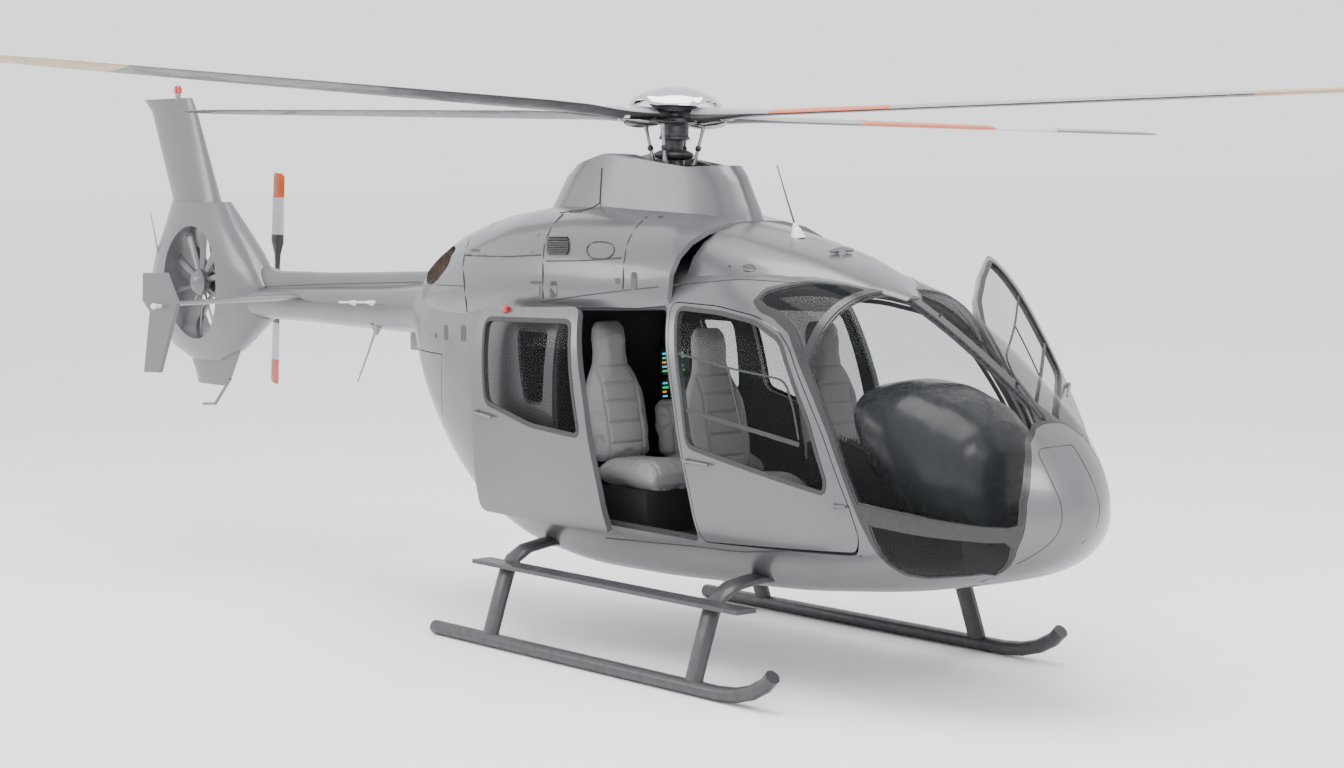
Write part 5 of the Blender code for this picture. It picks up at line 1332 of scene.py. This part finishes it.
def pad(rows, upright, steps=40, count=48):
    """A closed form through rows of (station, low, high, half width), a little undersized."""
    rows = np.asarray(rows, float)
    at = np.linspace(rows[0, 0] + PAD_START, rows[-1, 0] - PAD_START, steps)
    low, high, half = [np.interp(at, rows[:, 0], rows[:, k])[:, None] for k in (1, 2, 3)]
    a = np.arange(count) * 2 * np.pi / count
    across = (half - PAD_START) * signed_power(np.cos(a), 2 / 3.4)
    through = 0.5 * (low + high) + (0.5 * (high - low) - PAD_START) * signed_power(
        np.sin(a), 2 / 3.0)
    along = np.broadcast_to(at[:, None], across.shape)
    points = np.stack([across, through, along] if upright else [across, along, through], -1)
    return points.reshape(-1, 3), ring_faces(steps, count, turned=not upright)


def mesh_arrays(obj):
    """The vertices and quads of an object as its modifiers leave it."""
    made = bpy.data.meshes.new_from_object(
        obj.evaluated_get(bpy.context.evaluated_depsgraph_get()))
    verts, loops = np.zeros(len(made.vertices) * 3), np.zeros(len(made.loops), np.int64)
    made.vertices.foreach_get("co", verts)
    made.loops.foreach_get("vertex_index", loops)
    return made, verts.reshape(-1, 3), loops.reshape(-1, 4)


def stuffed(points, faces):
    """Points and quads of a pad: remeshed, blown up as cloth by at most SWELL, subdivided."""
    mesh = bpy.data.meshes.new("pad")
    mesh.from_pydata(points.tolist(), [], faces)
    work = bpy.data.objects.new("pad", mesh)
    bpy.context.collection.objects.link(work)
    remesh = work.modifiers.new("remesh", "REMESH")
    remesh.mode, remesh.voxel_size = "VOXEL", VOXEL
    remeshed, before, _ = mesh_arrays(work)
    work.modifiers.clear()
    work.data = remeshed
    cloth = work.modifiers.new("cloth", "CLOTH")
    cloth.settings.use_pressure = True
    cloth.settings.uniform_pressure_force = 4.0
    cloth.settings.effector_weights.gravity = 0.0
    for number in range(1, 21):
        bpy.context.scene.frame_set(number)
    _, after, _ = mesh_arrays(work)
    work.modifiers.clear()
    bpy.context.scene.frame_set(1)
    step = after - before
    far = np.linalg.norm(step, axis=1)[:, None]
    before = before + step * np.minimum(1.0, SWELL / np.maximum(far, 1e-6))
    work.data.vertices.foreach_set("co", before.ravel())
    work.data.update()
    smooth = work.modifiers.new("subdivision", "SUBSURF")
    smooth.levels = smooth.render_levels = 1
    _, verts, quads = mesh_arrays(work)
    bpy.data.objects.remove(work)
    return verts, quads


def normals_of(verts, quads):
    """A normal at each point: the sum of its faces' normals."""
    face = np.cross(verts[quads[:, 2]] - verts[quads[:, 0]], verts[quads[:, 3]]
                    - verts[quads[:, 1]])
    total = np.zeros(verts.shape)
    for corner in range(4):
        np.add.at(total, quads[:, corner], face)
    return total / np.maximum(np.linalg.norm(total, axis=1)[:, None], 1e-12)


def groove(distance, wide=0.008):
    """How deep a sewn line lies at a distance from it: a bell curve."""
    return np.exp(-(distance / wide) ** 2)


def sewn_back(verts, quads, tall):
    """Sews a back: seams along both bolsters, channels between them, a headrest panel."""
    x, z = np.abs(verts[:, 0]), verts[:, 2]
    top = 0.73 if tall else 0.46
    panel = 1.0 / (1.0 + np.exp((x - 0.125) / 0.003))
    lines = [groove(z - level) * panel for level in (0.125, 0.25, 0.38, 0.51, 0.62)
             if level < top - 0.03]
    lines.append(groove(x - 0.125) * ((z > 0.06) & (z < top)))
    lines.append(groove(z - top, 0.009) * (x < 0.2))
    normals = normals_of(verts, quads)
    return verts - normals * (0.011 * np.clip(-normals[:, 1], 0.0, 1.0)
                              * np.max(lines, axis=0))[:, None]


def sewn_cushion(verts, quads):
    """Sews a cushion: a seam along each bolster and three channels between them."""
    x, y = np.abs(verts[:, 0]), verts[:, 1]
    panel = 1.0 / (1.0 + np.exp((x - 0.13) / 0.003))
    lines = [groove(y - level) * panel for level in (-0.46, -0.32, -0.18)]
    lines.append(groove(x - 0.13) * (y > -0.60))
    normals = normals_of(verts, quads)
    return verts - normals * (0.010 * np.clip(normals[:, 2], 0, 1)
                              * np.max(lines, axis=0))[:, None]


tall_verts, tall_quads = stuffed(*pad(BACK, True))
low_verts, low_quads = stuffed(*pad(LOW_BACK, True))
seat_verts, seat_quads = stuffed(*pad(CUSHION, False))
tall_verts = sewn_back(tall_verts, tall_quads, True)
low_verts = sewn_back(low_verts, low_quads, False)
seat_verts = sewn_cushion(seat_verts, seat_quads)
for name, x, y in (("front_seat_port", 0.44, -0.98), ("front_seat_starboard", -0.44, -0.98),
                   ("rear_seat_starboard", -0.42, 0.06), ("rear_seat_middle", 0.08, 0.06)):
    back_verts, back_quads = ((low_verts, low_quads) if name.endswith("middle")
                              else (tall_verts, tall_quads))
    back = add_mesh(f"{name}_back_pad", back_verts + (x, y, PAD_Z), back_quads.tolist(),
                    [mat_leather])
    base = add_mesh(f"{name}_cushion_pad", seat_verts + (x, y, PAD_Z), seat_quads.tolist(),
                    [mat_leather])
    for piece in (back, base):
        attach(piece, "airframe")
        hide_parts(name)
